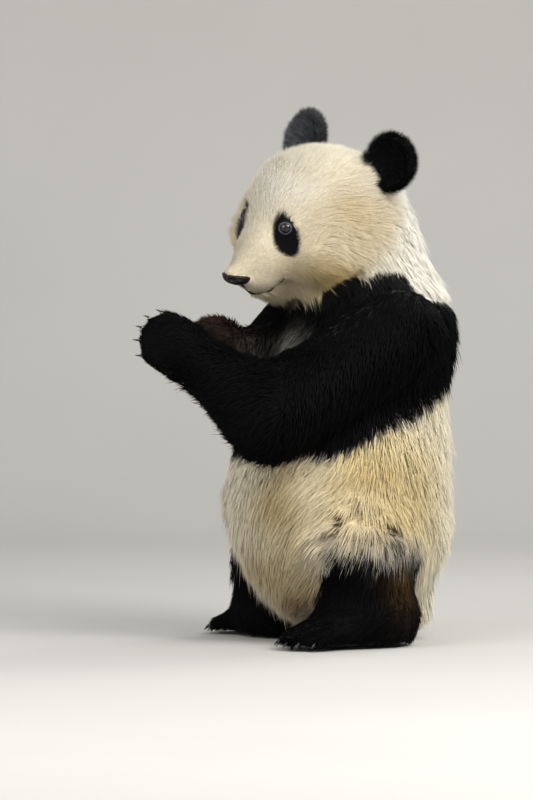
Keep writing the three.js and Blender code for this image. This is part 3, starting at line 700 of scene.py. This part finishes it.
def coatDepths():
    table = np.array([coat[kind] for kind in kinds], float)
    grown = smoothStep(20 * mm, 190 * mm, toNose)  # hair is short on the muzzle and long on the cheek
    for column, (least, more) in enumerate(((0.34, 1.15), (0.4, 1.1), (0.7, 0.6))):
        table[:, column] *= np.where(isHead, least + more * grown, 1)
    table[:, 4] *= np.where(isHead, 1.5 - 0.8 * grown, 1)
    table = skin.evened(table, skinShape["evening"])

    def alter(where, length=0.0, lift=0.0, gather=0.0):  # shares added to length and lift, and more gathering
        table[:, 1] *= 1 + length * where
        table[:, 3] *= 1 + lift * where
        table[:, 5] += gather * where

    x, y, z = outer.T
    fringe = isThigh * smoothStep(0.17, 0.185, z) * smoothStep(0.25, 0.225, z)
    farFlank = smoothStep(-0.15, -0.18, x) * smoothStep(0.08, 0.04, y)
    farFlank = isThigh * np.maximum(farFlank, (x < 0) * smoothStep(0, -0.03, y))
    alter(tousled, 0.25, 0.25, 0.16)
    alter(fringe, 0.25, 0, 0.06)
    alter(isThigh * smoothStep(0.27, 0.22, z), lift=-0.5)
    alter(underCheek, lift=-0.5)
    alter(farFlank, -0.45, -0.6)
    beard = isHead * smoothStep(-108 * mm, -122 * mm, inHead[:, 2])
    beard *= smoothStep(-130 * mm, -95 * mm, inHead[:, 1]) * smoothStep(-40 * mm, -62 * mm, inHead[:, 1])
    border = whiteness - ruffRise(outer)  # white hair ends soon after it crosses onto the black
    limit = np.clip(border, 0, None) / mm + 8 + 14 * beard
    reaches = np.isin(kinds, ("head", "neck")) & (border > 0)
    table[:, 1] = np.where(reaches, np.minimum(table[:, 1], limit), table[:, 1])
    onTop = np.isin(kinds, ("chest", "upper_arm")) * smoothStep(0.3, 0.75, outerNormals[:, 2])
    alter(onTop * smoothStep(0.48, 0.52, z), -0.3, -0.6)
    table[:, 3] += 28 * isEar * earUp ** 2
    table[:, 1] += 13 * beard
    alter(mouthDark(inHead), -0.4)
    reach = np.where(aboveFold, foldShape["hairAbove"], foldShape["hairBelow"])
    stopped = np.minimum(table[:, 1], foldGap / mm + reach)  # hair ends at a fold below it
    table[:, 1] += (stopped - table[:, 1]) * np.minimum(foldDepth, 1)
    return table


lie = layOfCoat()
depthTable = coatDepths()
roots = markings(outer, inHead, whiteness, kinds, np.zeros(len(outer)))[1]
# painted shade in the folds: roots and skin are darkened near each fold's line
crease = foldDepth * np.exp(-(foldGap / foldShape["shadeWide"]) ** 2)
foldShadeTone = 1 - crease[:, None] * np.array(foldShape["shade"])

eyeShape = {"radius": 12 * mm, "opening": (8.8 * mm, 8.0 * mm), "looksOut": 42}


def eyeMatrix(side):  # an eye's own frame: its gaze is along -Y
    out = 1 if side == "left" else -1
    turn = Matrix.Rotation(math.radians(eyeShape["looksOut"]) * out, 4, "Z")
    matrix = head.to_3x3().to_4x4() @ turn
    matrix.translation = nodeCentre(f"eye_{side}")
    return matrix


def eyeLocal(side, points):  # points in an eye's own frame
    matrix = eyeMatrix(side)
    return (points - np.array(matrix.translation)) @ np.array(matrix.to_3x3())


def sinkSkin():  # draws the surface in by the coat's depth, a little at a time
    depth = depthTable[:, 0] * mm - foldLift
    for side in sides:
        away = np.linalg.norm(outer - np.array(nodeCentre(f"eye_{side}")), axis=1)
        depth = depth * smoothStep(10 * mm, 26 * mm, away)
    for _ in range(skinShape["steps"]):
        skin.points = skin.points - skin.normals * (depth / skinShape["steps"])[:, None]
        smoothed = skin.evened(skin.points, 1)
        loose = smoothStep(5 * mm, 12 * mm, depthTable[:, 0] * mm)[:, None]
        skin.points = skin.points * (1 - loose) + smoothed * loose
        skin.refresh()
    for side in sides:
        local = eyeLocal(side, skin.points)
        far = np.linalg.norm(local, axis=1)
        opening = smoothStep(17 * mm, 12 * mm, np.hypot(local[:, 0], local[:, 2])) * (local[:, 1] < 0)
        pull = np.clip(far - 10 * mm, 0, None) * opening
        skin.points = skin.points - skin.normals * pull[:, None]
    skin.points[:, 2] = np.maximum(skin.points[:, 2], 1.5 * mm)
    skin.refresh()


sinkSkin()
print("skin sunk under the coat")


# materials

def coatMaterial(name, roughness, settings):
    # fur: the colour comes with the mesh, from root to tip; fine noise parts it into single hairs
    material, tree, shader = newMaterial(name, settings)
    tint = addNode(tree, "Attribute", {"attribute_name": "coatTint"})
    place = addNode(tree, "TexCoord")
    mottle = addNode(tree, "TexNoise", {"Scale": 1 / (4 * mm), "Detail": 3.0},
                     {"Vector": place.outputs["Object"]})
    shade = addNode(tree, "MapRange", {"From Min": 0.3, "From Max": 0.7, "To Min": 0.9, "To Max": 1.08},
                    {"Value": mottle.outputs["Fac"]})
    colour = addNode(tree, "VectorMath", {"operation": "SCALE"},
                     {0: tint.outputs["Color"], "Scale": shade.outputs["Result"]})
    rough = addNode(tree, "MapRange", {"To Min": roughness - 0.06, "To Max": roughness + 0.08},
                    {"Value": mottle.outputs["Fac"]})
    addLinks(tree, shader, {"Base Color": colour.outputs["Vector"], "Roughness": rough.outputs["Result"]})
    return material


dullFur = {"Specular IOR Level": 0.1, "Sheen Weight": 0.15, "Sheen Roughness": 0.5}
whiteFur = coatMaterial("whiteFur", 0.8, dullFur)
blackFur = coatMaterial("blackFur", 0.66, {"Specular IOR Level": 0.05, "Sheen Weight": 0.0})


# the skin as one piece, unwrapped, with the coat's markings

def addTint(mesh, colours):
    tint = mesh.attributes.new("coatTint", "FLOAT_COLOR", "POINT")
    tint.data.foreach_set("color", np.insert(colours, 3, 1, axis=1).astype(np.float32).ravel())


def buildSkin():
    mesh = meshFrom(fleshMesh, "skin")
    mesh.vertices.foreach_set("co", skin.points.ravel())
    mesh.update()
    # the skin is painted lighter than the roots, painted light for light scattered through the hair, and
    # darker along the folds, painted shade
    addTint(mesh, np.minimum(roots * 1.12, 0.95) * foldShadeTone ** 2)
    piece = newPiece(mesh, whiteFur)
    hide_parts(*fleshNodes)
    mesh.uv_layers.new(name="OFBake")
    bpy.context.view_layer.objects.active = piece
    bpy.ops.object.mode_set(mode="EDIT")
    bpy.ops.mesh.select_all(action="SELECT")
    bpy.ops.uv.smart_project(angle_limit=math.radians(66), island_margin=0.002)
    bpy.ops.object.mode_set(mode="OBJECT")
    return piece


skinPiece = buildSkin()
print("skin unwrapped")


# the coat's tufts

tuft = {
    "clumpEvery": 14,  # tufts to a lock
    "patchSize": 0.003,  # of a tuft on the unwrapped skin
    "sunk": 1.5 * mm,
    "guardHairs": 0.06, "guardLonger": 1.35,
    "lengths": (0.72, 1.22), "lifts": (0.7, 1.35),  # times what its part's coat has
    "thickness": 0.4,  # of its width
    "softness": 0.9,  # how far its shading follows the skin under it
    "along": (0, 0.34, 0.67, 1.0),  # the places on its line
    "profile": (0.8, 1.0),  # how wide its rings are
    "widths": (0.75, 1.25), "twist": 0.35,
    "shades": ((0.88, 1.08), (0.94, 1.05)), "lockShade": 0.2,  # from tuft to tuft, and from lock to lock
    "mostTriangles": 190000,
    "overlap": 0.45,  # how far down a tuft its markings are taken from
    "weight": 0.45, "long": 40 * mm,  # how far a long one is bent down
    "whiskers": (28, -128, -98), "whiskerReach": (16, 18, 14),  # where they grow, in the head's frame in mm
    "whiskerShare": 0.015, "whiskerLonger": 28 * mm,
}


def spreadRoots():  # places on the skin's triangles, evenly, at the density that each part's coat has
    density = depthTable[:, 4][skin.triangles].mean(axis=1) * 1e4
    onPad = reachesFrom(nose["at"], np.array(nose["radii"]) + 2, inHead) < 1
    bare = onPad & (inHead[:, 2] < nose["topEdge"] * mm)
    bare |= (outer[:, 2] < 4 * mm) & (outerNormals[:, 2] < -0.7)
    bare |= mouthDark(inHead) > 0.6
    for side in sides:
        local = eyeLocal(side, outer)
        bare |= (np.hypot(local[:, 0] / 12.5, local[:, 2] / 11.5) < mm) & (local[:, 1] < 0)
    density = density * ~bare[skin.triangles].any(axis=1)
    a, b, c = (outer[skin.triangles[:, i]] for i in range(3))
    areas = np.linalg.norm(np.cross(b - a, c - a), axis=1) / 2
    expected = np.maximum(areas, np.minimum(skin.areas, 3 * areas)) * density
    count = np.floor(expected + rng.random(len(expected))).astype(int)
    which = np.repeat(np.arange(len(count)), count)
    a, b = rng.random(len(which)), rng.random(len(which))
    over = a + b > 1
    a[over], b[over] = 1 - a[over], 1 - b[over]
    shares = np.column_stack([1 - a - b, a, b])
    return which, shares


def atRoots(values):
    return np.einsum("ij,ij...->i...", weights, values[skin.triangles[which]])


def rootMap():
    mesh = skinPiece.data
    uvs = np.zeros(len(mesh.loops) * 2)
    mesh.uv_layers["OFBake"].uv.foreach_get("vector", uvs)
    return np.einsum("ij,ijk->ik", weights, uvs.reshape(-1, 3, 2)[which])


which, weights = spreadRoots()
count = len(which)
rootPoints = atRoots(skin.points)
rootNormals = unit(atRoots(skin.normals))
rootLie = atRoots(lie)
rootLie = unit(rootLie - rootNormals * np.sum(rootLie * rootNormals, axis=1)[:, None])
rootTable = atRoots(depthTable)
rootUv = rootMap()
rootOwner = skin.triangles[which, 0]
rootKind, rootLeft = kinds[rootOwner], isLeft[rootOwner]
overlap = np.where(np.isin(rootKind, ("thigh", "neck")), 0.15, tuft["overlap"])
onFace = smoothStep(-90 * mm, -55 * mm, atRoots(inHead)[:, 2])
overlap = np.where(rootKind == "head", 0.1 + 0.35 * onFace, overlap)
reached = atRoots(outer) + rootLie * (rootTable[:, 1] * overlap)[:, None] * mm
markOwner = nearestHits(outer, reached)[0]
tipColours, rootColours, rootBlack = markings(
    reached, toHead(reached), whiteness[markOwner], kinds[markOwner], rng.uniform(-1, 1, count))
# painted shade: roots near a fold are darkened
rootColours *= atRoots(foldShadeTone)
print("tufts rooted:", count)


def paths():  # the line that each tuft follows
    length = rootTable[:, 1] * mm * rng.uniform(*tuft["lengths"], count)
    length *= 1 + 0.16 * patchy(rootPoints, 30 * mm, 5)
    length *= np.where(rng.random(count) < tuft["guardHairs"], tuft["guardLonger"], 1)
    whisker = reachesFrom(tuft["whiskers"], tuft["whiskerReach"], onLeft(toHead(rootPoints))) < 1
    whisker = whisker & (rng.random(count) < tuft["whiskerShare"])
    length += tuft["whiskerLonger"] * whisker
    lift = np.radians(rootTable[:, 3] + 22 * whisker) * rng.uniform(*tuft["lifts"], count)
    lift *= 1 + 0.25 * patchy(rootPoints, 22 * mm, 6)
    sideways = np.cross(rootNormals, rootLie)
    swirl = 0.3 * patchy(rootPoints, 45 * mm, 7) + 0.22 * patchy(rootPoints, 12 * mm, 8)
    swirl *= 1 + 1.3 * atRoots(tousled)
    swirl += rng.normal(0, 0.12, count) * np.where(rootKind == "ear", 4, 1)
    heading = unit(rootLie * np.cos(swirl)[:, None] + sideways * np.sin(swirl)[:, None])
    line = [rootPoints - rootNormals * np.minimum(tuft["sunk"], 0.07 * length)[:, None]]
    heavy = np.minimum(length / tuft["long"], 1) ** 3 * tuft["weight"]
    for start, end in zip(tuft["along"][:-1], tuft["along"][1:]):
        middle = (start + end) / 2
        angle = lift * (1.7 - 1.4 * middle)
        way = heading * np.cos(angle)[:, None] + rootNormals * np.sin(angle)[:, None]
        way = unit(way + down * (heavy * middle)[:, None])
        line.append(line[-1] + way * (length * (end - start))[:, None])
    return np.stack(line, axis=1)


def gathered(line):  # neighbours lean together into locks
    leaders = np.flatnonzero(rng.random(count) < 1 / tuft["clumpEvery"])
    mine = leaders[nearestHits(rootPoints[leaders], rootPoints)[0]]
    pull = rootTable[:, 5] * rng.uniform(0.6, 1.1, count)
    lean = pull[:, None] * (np.array(tuft["along"]) ** 1.4)[None, :]
    return line + (line[mine] - line) * lean[:, :, None], mine


lines, lockOf = gathered(paths())

# dark hairs along the folds are painted shadow lines in the creases
creaseShadowHair = {  # lengths and heights in mm
    "perMm": 2.2, "length": (8, 20), "wander": 1.8 * mm, "turn": 0.35, "raised": (2, 5), "width": 0.75,
}


def creaseShadowHairs():  # dark hairs laid along the bottom of each fold: painted shadow lines for the creases
    along = np.array(tuft["along"])
    made = []
    for number in np.unique(foldNumbers):
        line, depths = foldPlaces[foldNumbers == number], foldDepths[foldNumbers == number]
        at = np.append(0, np.cumsum(np.linalg.norm(np.diff(line, axis=0), axis=1)))
        n = int(at[-1] / mm * creaseShadowHair["perMm"] * depths.max() ** 2) + 1
        length = rng.uniform(*creaseShadowHair["length"], n) * mm
        start = rng.uniform(0, 1, n) * np.maximum(at[-1] - length, 0)
        places = start[:, None] + length[:, None] * along
        made.append(np.stack([np.interp(places, at, line[:, i]) for i in range(3)], axis=2))
    made = np.vstack(made)
    n = len(made)
    near = nearestHits(outer, made[:, 1])[0]
    normals = skin.normals[near]
    made += (skin.points - outer)[near][:, None]
    upward = unit(np.array([0, 0, 1]) - normals * normals[:, 2:])
    sizes = np.linalg.norm(made[:, 3] - made[:, 0], axis=1)[:, None, None]
    swing = rng.normal(0, creaseShadowHair["turn"], (n, 1, 1)) * (along - 0.5)[None, :, None] * sizes
    made += upward[:, None] * (rng.normal(0, creaseShadowHair["wander"], (n, 1, 1)) + swing)
    made += normals[:, None] * (rng.uniform(*creaseShadowHair["raised"], (n, 1, 1)) * mm)
    made[:, (0, 3)] -= (normals * 2 * mm)[:, None]
    return made, normals


folded, foldNormals = creaseShadowHairs()
hosts = nearestHits(rootPoints, folded[:, 0])[0]
white = rootBlack[hosts] < 0.3
folded, foldNormals, hosts = folded[white], foldNormals[white], hosts[white]
# the fold hairs' dark brown is painted shadow
foldShadowHue = hue["dusk"] * rng.uniform(0.1, 0.7, (len(folded), 1))


def withHairs(values, added=None):  # the tufts' values with the folds' hairs after them
    return np.concatenate([values, values[hosts] if added is None else added])


lockShade = np.random.default_rng(8).uniform(-1, 1, count)
lines = withHairs(lines, folded)
rootTable, rootUv, rootKind, rootLeft, lockOf = (
    withHairs(values) for values in (rootTable, rootUv, rootKind, rootLeft, lockOf))
rootTable[count:, 2] = creaseShadowHair["width"]
rootPoints, rootNormals = withHairs(rootPoints, folded[:, 0]), withHairs(rootNormals, foldNormals)
rootColours = withHairs(rootColours, foldShadowHue * 0.7)
tipColours = withHairs(tipColours, foldShadowHue * 0.75 + tipColours[hosts] * 0.25)
lines[:, :, 2] = np.maximum(lines[:, :, 2], 1 * mm)
print("hairs in the folds:", len(folded))


def buildTufts(name, picks, material, rings):
    seeded = np.random.default_rng(len(picks))
    n, line, normals = len(picks), lines[picks], rootNormals[picks]
    bends = [(line[:, 1] + line[:, 2]) / 2] if rings == 2 else []
    line = np.stack([line[:, 0], *bends, line[:, 3]], axis=1)
    width = rootTable[picks, 2] * mm * seeded.uniform(*tuft["widths"], n)
    twist = seeded.normal(0, tuft["twist"], n)
    points, shading = [], []
    for k in range(rings):
        way = unit(line[:, k + 1] - line[:, max(k - 1, 0)])
        across = unit(np.cross(way, normals))
        above = np.cross(across, way)
        turned = across * np.cos(twist)[:, None] + above * np.sin(twist)[:, None]
        above = np.cross(turned, way)
        half = (width * tuft["profile"][k] / 2)[:, None]
        points += [line[:, k] - turned * half, line[:, k] + turned * half,
                   line[:, k] + above * half * 2 * tuft["thickness"]]
        shading += [above - turned, above + turned, above]
    points.append(line[:, rings])
    shading.append(above)
    points, shading = np.stack(points, axis=1), np.stack(shading, axis=1)
    corners, last = rings * 3 + 1, (rings - 1) * 3
    faces = [(0, 1, 2)]
    for k in range(rings - 1):
        for j in range(3):
            a, b = k * 3 + j, k * 3 + (j + 1) % 3
            faces += [(b, a, a + 3), (b, a + 3, b + 3)]
    faces += [(last + (j + 1) % 3, last + j, corners - 1) for j in range(3)]
    faces = (np.array(faces)[None] + (np.arange(n) * corners)[:, None, None]).reshape(-1, 3)
    mesh = bpy.data.meshes.new(name)
    mesh.from_pydata(points.reshape(-1, 3).tolist(), [], faces.tolist(), shade_flat=False)
    along = np.append(np.repeat(np.arange(rings) / rings, 3), 1.0)
    side = np.append(np.tile([0, 1, 0.5], rings), 0.5)
    shade = seeded.uniform(*tuft["shades"][rings - 1], n)[:, None, None]
    lock = 1 + tuft["lockShade"] * rootTable[picks, 5] * lockShade[lockOf[picks]]
    blend = (along ** 0.6)[None, :, None]
    colours = rootColours[picks][:, None] * (1 - blend) + tipColours[picks][:, None] * blend
    colours *= shade * lock[:, None, None]
    addTint(mesh, np.clip(colours, 0, 1).reshape(-1, 3))
    patch = np.stack([side - 0.5, along - 0.5], axis=1) * tuft["patchSize"]
    uv = (np.clip(rootUv[picks], 0.002, 0.998)[:, None] + patch[None]).reshape(-1, 2)[faces.ravel()]
    mesh.uv_layers.new(name="OFBake").uv.foreach_set("vector", uv.astype(np.float32).ravel())
    softness = tuft["softness"] - 0.14 * (rings == 1)
    soft = unit(normals[:, None] * softness + unit(shading) * (1 - softness))
    mesh.normals_split_custom_set_from_vertices(soft.reshape(-1, 3))
    newPiece(mesh, material)


coatGroups = {
    "face": ("head",), "ears": ("ear",), "nape": ("neck",), "chest": ("chest",), "belly": ("abdomen",),
    "rump": ("tail",), "arm": ("upper_arm", "forearm"), "paw": ("forepaw",), "haunch": ("thigh",),
    "leg": ("shin",), "foot": ("hindfoot",),
}
whiteGroups = ("face", "nape", "belly", "rump", "haunch")
pairedGroups = ("arm", "paw", "haunch", "leg", "foot")


def coverSkin():
    total = 0
    for group, names in coatGroups.items():
        rings = 1 if group in ("face", "ears") else 2
        perTuft = 6 * rings - 2
        chosen = np.isin(rootKind, names)
        slot, material = ("white_coat", whiteFur) if group in whiteGroups else ("black_coat", blackFur)
        for hand in ("Left", "Right") if group in pairedGroups else ("",):
            picks = np.flatnonzero(chosen & ((rootLeft == (hand == "Left")) if hand else True))
            picks = picks[np.argsort(turnOf(rootPoints[picks]), kind="stable")]
            pieces = math.ceil(len(picks) * perTuft / tuft["mostTriangles"])
            for number, some in enumerate(np.array_split(picks, pieces)):
                name = f"{group}Coat{hand}" + (str(number + 1) if pieces > 1 else "")
                buildTufts(name, some, material, rings)
            total += len(picks) * perTuft
    print("coat triangles:", total)


coverSkin()


# eyes

# living eye: a very dark brown iris round a black pupil, under a clear wet film
wetEye = patternedMaterial(
    "wetEye", {"Roughness": 0.08, "IOR": 1.38, "Coat Weight": 0.4, "Coat IOR": 1.5, "Coat Roughness": 0.02},
    "TexNoise", 1.2 * mm,
    ((0, "#030303"), (0.15, "#060405"), (0.19, "#2a1810"), (0.34, "#1c130e"), (0.42, "#08080a"),
     (0.5, "#0b0b0e"), (1, "#1a1a1e")), rings=("gaze", 0.25), Detail=2.0)
# bare lid: a blue-grey rim, partly its own colour and partly a painted highlight on its damp edge, black and
# fine-grained further out
lidSkin = patternedMaterial(
    "eyelidSkin", {"Roughness": 0.34}, "TexNoise", 0.8 * mm,
    ((0.5, "#1c1f25"), (0.53, "#535b67"), (0.58, "#464d58"), (0.65, "#131417"), (1, "#0a0a0b")),
    bump=(0.4, 0.2 * mm), rings=("rim", 0.4), Detail=3.0)


def eyePiece(bm, side, name, attribute, values, material):  # its colours follow the attribute
    bmesh.ops.transform(bm, verts=bm.verts, matrix=eyeMatrix(side))
    mesh = meshFrom(bm, name + side.title())
    mesh.attributes.new(attribute, "FLOAT", "POINT").data.foreach_set("value", values)
    return newPiece(mesh, material)


def buildEye(side):
    bm = bmesh.new()
    bmesh.ops.create_uvsphere(bm, u_segments=32, v_segments=20, radius=eyeShape["radius"])
    bmesh.ops.rotate(bm, verts=bm.verts, matrix=Matrix.Rotation(math.pi / 2, 3, "X"))
    ahead = np.array([-vert.co.y for vert in bm.verts]) / eyeShape["radius"]
    angles = np.arccos(np.clip(ahead, -1, 1)) / (math.pi / 2)
    piece = eyePiece(bm, side, "eyeball", "gaze", angles, wetEye)
    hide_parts(f"eye_{side}")


lid = {  # rings of the lids from the eye outwards: size of the outline, distance from the eye's centre
    "rings": ((1.0, 11.4), (1.0, 12.3), (1.06, 12.9), (1.16, 13.2), (1.27, 13.1), (1.45, 12.8), (1.7, 11.8)),
    "around": 36,
}


def buildLids(side):
    bm = bmesh.new()
    wide, high = eyeShape["opening"]
    loops = []
    for size, far in lid["rings"]:
        made = bmesh.ops.create_circle(bm, segments=lid["around"], radius=1)
        for vert in made["verts"]:
            angle = math.atan2(vert.co.y, vert.co.x)
            x = math.cos(angle) * wide * size
            z = math.sin(angle) * high * size * (0.84 + 0.16 * abs(math.sin(angle)))
            y = -math.sqrt(max((far * mm) ** 2 - x * x - z * z, 0))
            vert.co = (x, y, z)
        loops.append([edge for edge in bm.edges if set(edge.verts) <= set(made["verts"])])
    for inner, outerRing in zip(loops[:-1], loops[1:]):
        bmesh.ops.bridge_loops(bm, edges=inner + outerRing)
    bmesh.ops.recalc_face_normals(bm, faces=bm.faces)
    bmesh.ops.solidify(bm, geom=bm.faces[:], thickness=0.5 * mm)
    rim = [math.hypot(vert.co.x / wide, vert.co.z / high) / 2 for vert in bm.verts]
    eyePiece(bm, side, "eyelids", "rim", rim, lidSkin)


for side in sides:
    buildEye(side)
    buildLids(side)


# nose

# bare nose: black pebbled skin with a moist shine
leather = patternedMaterial(
    "noseLeather", {"Coat Weight": 0.12, "Coat Roughness": 0.3, "Specular IOR Level": 0.25}, "TexVoronoi",
    1.3 * mm, ((0, "#1c181a"), (1, "#070607")), rough=(0.34, 0.55), bump=(0.55, 0.35 * mm))


def buildNose():
    bm = bmesh.new()
    bmesh.ops.create_icosphere(bm, subdivisions=5, radius=1)
    bmesh.ops.scale(bm, verts=bm.verts, vec=[r * mm for r in nose["radii"]])
    bmesh.ops.translate(bm, verts=bm.verts, vec=[v * mm for v in nose["at"]])
    centre = Vector(nose["at"]) * mm
    hole, wingAt, wingReach = nose["nostril"], nose["wing"], nose["wingReach"]
    for vert in bm.verts:
        vert.co.z = centre.z + (vert.co.z - centre.z) * (nose["top"] if vert.co.z > centre.z else 1)
        x, y, z = vert.co / mm
        inward = (centre - vert.co).normalized()
        rise = z - hole[1] - nose["nostrilTilt"] * (abs(x) - 11)
        slit = math.hypot(abs(x) - hole[0], rise / nose["nostrilFlat"])
        dent = max(0, 1 - (slit / nose["nostrilRadius"]) ** 2) ** 1.5 * nose["nostrilDepth"] * (y < -160)
        wing = math.exp(-((abs(x) - wingAt[0]) / wingReach[0]) ** 2 - ((z - wingAt[1]) / wingReach[1]) ** 2)
        wing *= nose["wingDepth"] * (y < -150)
        groove = math.exp(-(x / nose["grooveWide"]) ** 2) * nose["grooveDepth"] * (z < nose["topEdge"])
        vert.co += inward * (dent + wing + groove) * mm
    bmesh.ops.transform(bm, verts=bm.verts, matrix=head)
    piece = newPiece(meshFrom(bm, "nosePad"), leather)
    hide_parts("nose")


buildNose()


# lips: a dark damp line between them, thinner toward its corners

# bare lip: brown-black, finely wrinkled, slightly damp
lipSkin = patternedMaterial(
    "lipSkin", {"Specular IOR Level": 0.3}, "TexNoise", 1.5 * mm, ((0.3, "#090605"), (0.7, "#24160f")),
    rough=(0.5, 0.7), Detail=3.0)
lips = {"radius": 1.5 * mm, "raised": 0.9 * mm, "around": 8, "step": 1.5}


def buildLips():
    bm = bmesh.new()
    half = alongLine(mouth["line"], lips["step"])
    whole = np.vstack([half[::-1], half[1:] * [-1, 1, 1]])
    for line in (whole, alongLine(mouth["philtrum"], lips["step"])):
        hits = skin.nearest(fromHead(line * mm))
        centres = np.array([hit[0] + hit[1] * lips["raised"] for hit in hits])
        for _ in range(2):
            centres[1:-1] = (centres[:-2] + 2 * centres[1:-1] + centres[2:]) / 4
        rings = []
        for i, centre in enumerate(centres):
            way = unit(centres[min(i + 1, len(centres) - 1)] - centres[max(i - 1, 0)])
            out = unit(np.array(hits[i][1]) - way * np.dot(hits[i][1], way))
            side = np.cross(way, out)
            end = min(i, len(centres) - 1 - i) / 8
            radius = lips["radius"] * (0.3 + 0.7 * min(end, 1))
            angles = [2 * math.pi * k / lips["around"] for k in range(lips["around"])]
            ring = [centre + (side * math.cos(a) + out * math.sin(a)) * radius for a in angles]
            rings.append([bm.verts.new(point) for point in ring])
        for low, high in zip(rings[:-1], rings[1:]):
            for k in range(lips["around"]):
                after = (k + 1) % lips["around"]
                bm.faces.new((low[k], low[after], high[after], high[k]))
        bm.faces.new(rings[0])
        bm.faces.new(rings[-1])
    bmesh.ops.recalc_face_normals(bm, faces=bm.faces)
    newPiece(meshFrom(bm, "lips"), lipSkin)


buildLips()


# claws

# claw horn: near black and slightly glossy, with fine paler lines
horn = patternedMaterial(
    "clawHorn", {"Roughness": 0.32, "Coat Weight": 0.2}, "TexNoise", 1.5 * mm,
    ((0, "#1a1613"), (1, "#241f1a")), Detail=4.0)


def buildClaws(limb):
    bm = bmesh.new()
    for i in range(1, 6):
        bm.from_mesh(frame["nodes"][f"{limb}_claw_{i}"].data)
    bmesh.ops.remove_doubles(bm, verts=bm.verts, dist=1e-5)
    piece = newPiece(meshFrom(bm, "claws" + limb.title().replace("_", "")), horn)
    rounder = piece.modifiers.new("rounder", "SUBSURF")
    rounder.levels = rounder.render_levels = 2
    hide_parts(*(f"{limb}_claw_{i}" for i in range(1, 6)))


for side in sides:
    buildClaws(f"forepaw_{side}")
    buildClaws(f"hindfoot_{side}")
print("eyes, nose and claws made")


# floor and light

studio = {"air": 0.5, "ahead": 12, "deep": 2.6, "curve": 1.2, "tall": 5.0, "wide": 9.0, "aimHeight": 0.45}
lamps = {  # how far ahead, aside and high, seen from the camera, the lamp's size, and its watts
    "key": (2.3, 1.6, 2.45, 3.0, 82),
    "glint": (2.2, 1.7, 1.9, 1.0, 32),
    "sky": (0.2, 0.3, 3.6, 3.0, 3),
    "fill": (2.7, -2.3, 1.7, 3.0, 68),
    "rim": (-1.6, 1.7, 2.6, 1.4, 30),
}


def paleFloor():  # the floor sweeps up into a backdrop behind the animal
    # matt studio paper: one pale tone with a very faint cloud in it
    paper = patternedMaterial(
        "studioPaper", {"Roughness": 0.9}, "TexNoise", 0.5, ((0, "#c9c6bf"), (1, "#d0cdc6")), Detail=2.0)
    deep, curve = studio["deep"], studio["curve"]
    angles = [math.pi / 2 * i / 12 for i in range(1, 13)]
    bend = [(deep + curve * math.sin(angle), curve * (1 - math.cos(angle))) for angle in angles]
    profile = [(-studio["ahead"], 0), (deep, 0), *bend, (deep + curve, studio["tall"])]
    bm = bmesh.new()
    rows = []
    for back, high in profile:
        middle = Vector((-viewBack.x, -viewBack.y, 0)).normalized() * back + Vector((0, 0, high))
        rows.append([bm.verts.new(middle + viewRight * side * studio["wide"]) for side in (-1, 1)])
    for low, high in zip(rows[:-1], rows[1:]):
        bm.faces.new((low[0], low[1], high[1], high[0]))
    mesh = meshFrom(bm, "floor")
    mesh.materials.append(paper)
    floor = addObject("floor", mesh)


def addLamp(name, ahead, aside, high, size, watts):
    data = bpy.data.lights.new(name, "AREA")
    data.shape, data.size, data.energy = "DISK", size, watts
    lamp = addObject(name, data)
    lamp.location = Vector((viewBack.x, viewBack.y, 0)) * ahead + viewRight * aside + Vector((0, 0, high))
    aim = lamp.location - Vector((0, 0, studio["aimHeight"]))
    lamp.rotation_euler = aim.to_track_quat("Z", "Y").to_euler()


paleFloor()
for name, settings in lamps.items():
    addLamp(name, *settings)
world = bpy.data.worlds.new("air")
world.use_nodes = True
air = world.node_tree.nodes["Background"].inputs
air["Color"].default_value = (*toLinear("#e4e8ec"), 1)
air["Strength"].default_value = studio["air"]
bpy.context.scene.world = world
bpy.context.scene.view_settings.view_transform = "Standard"
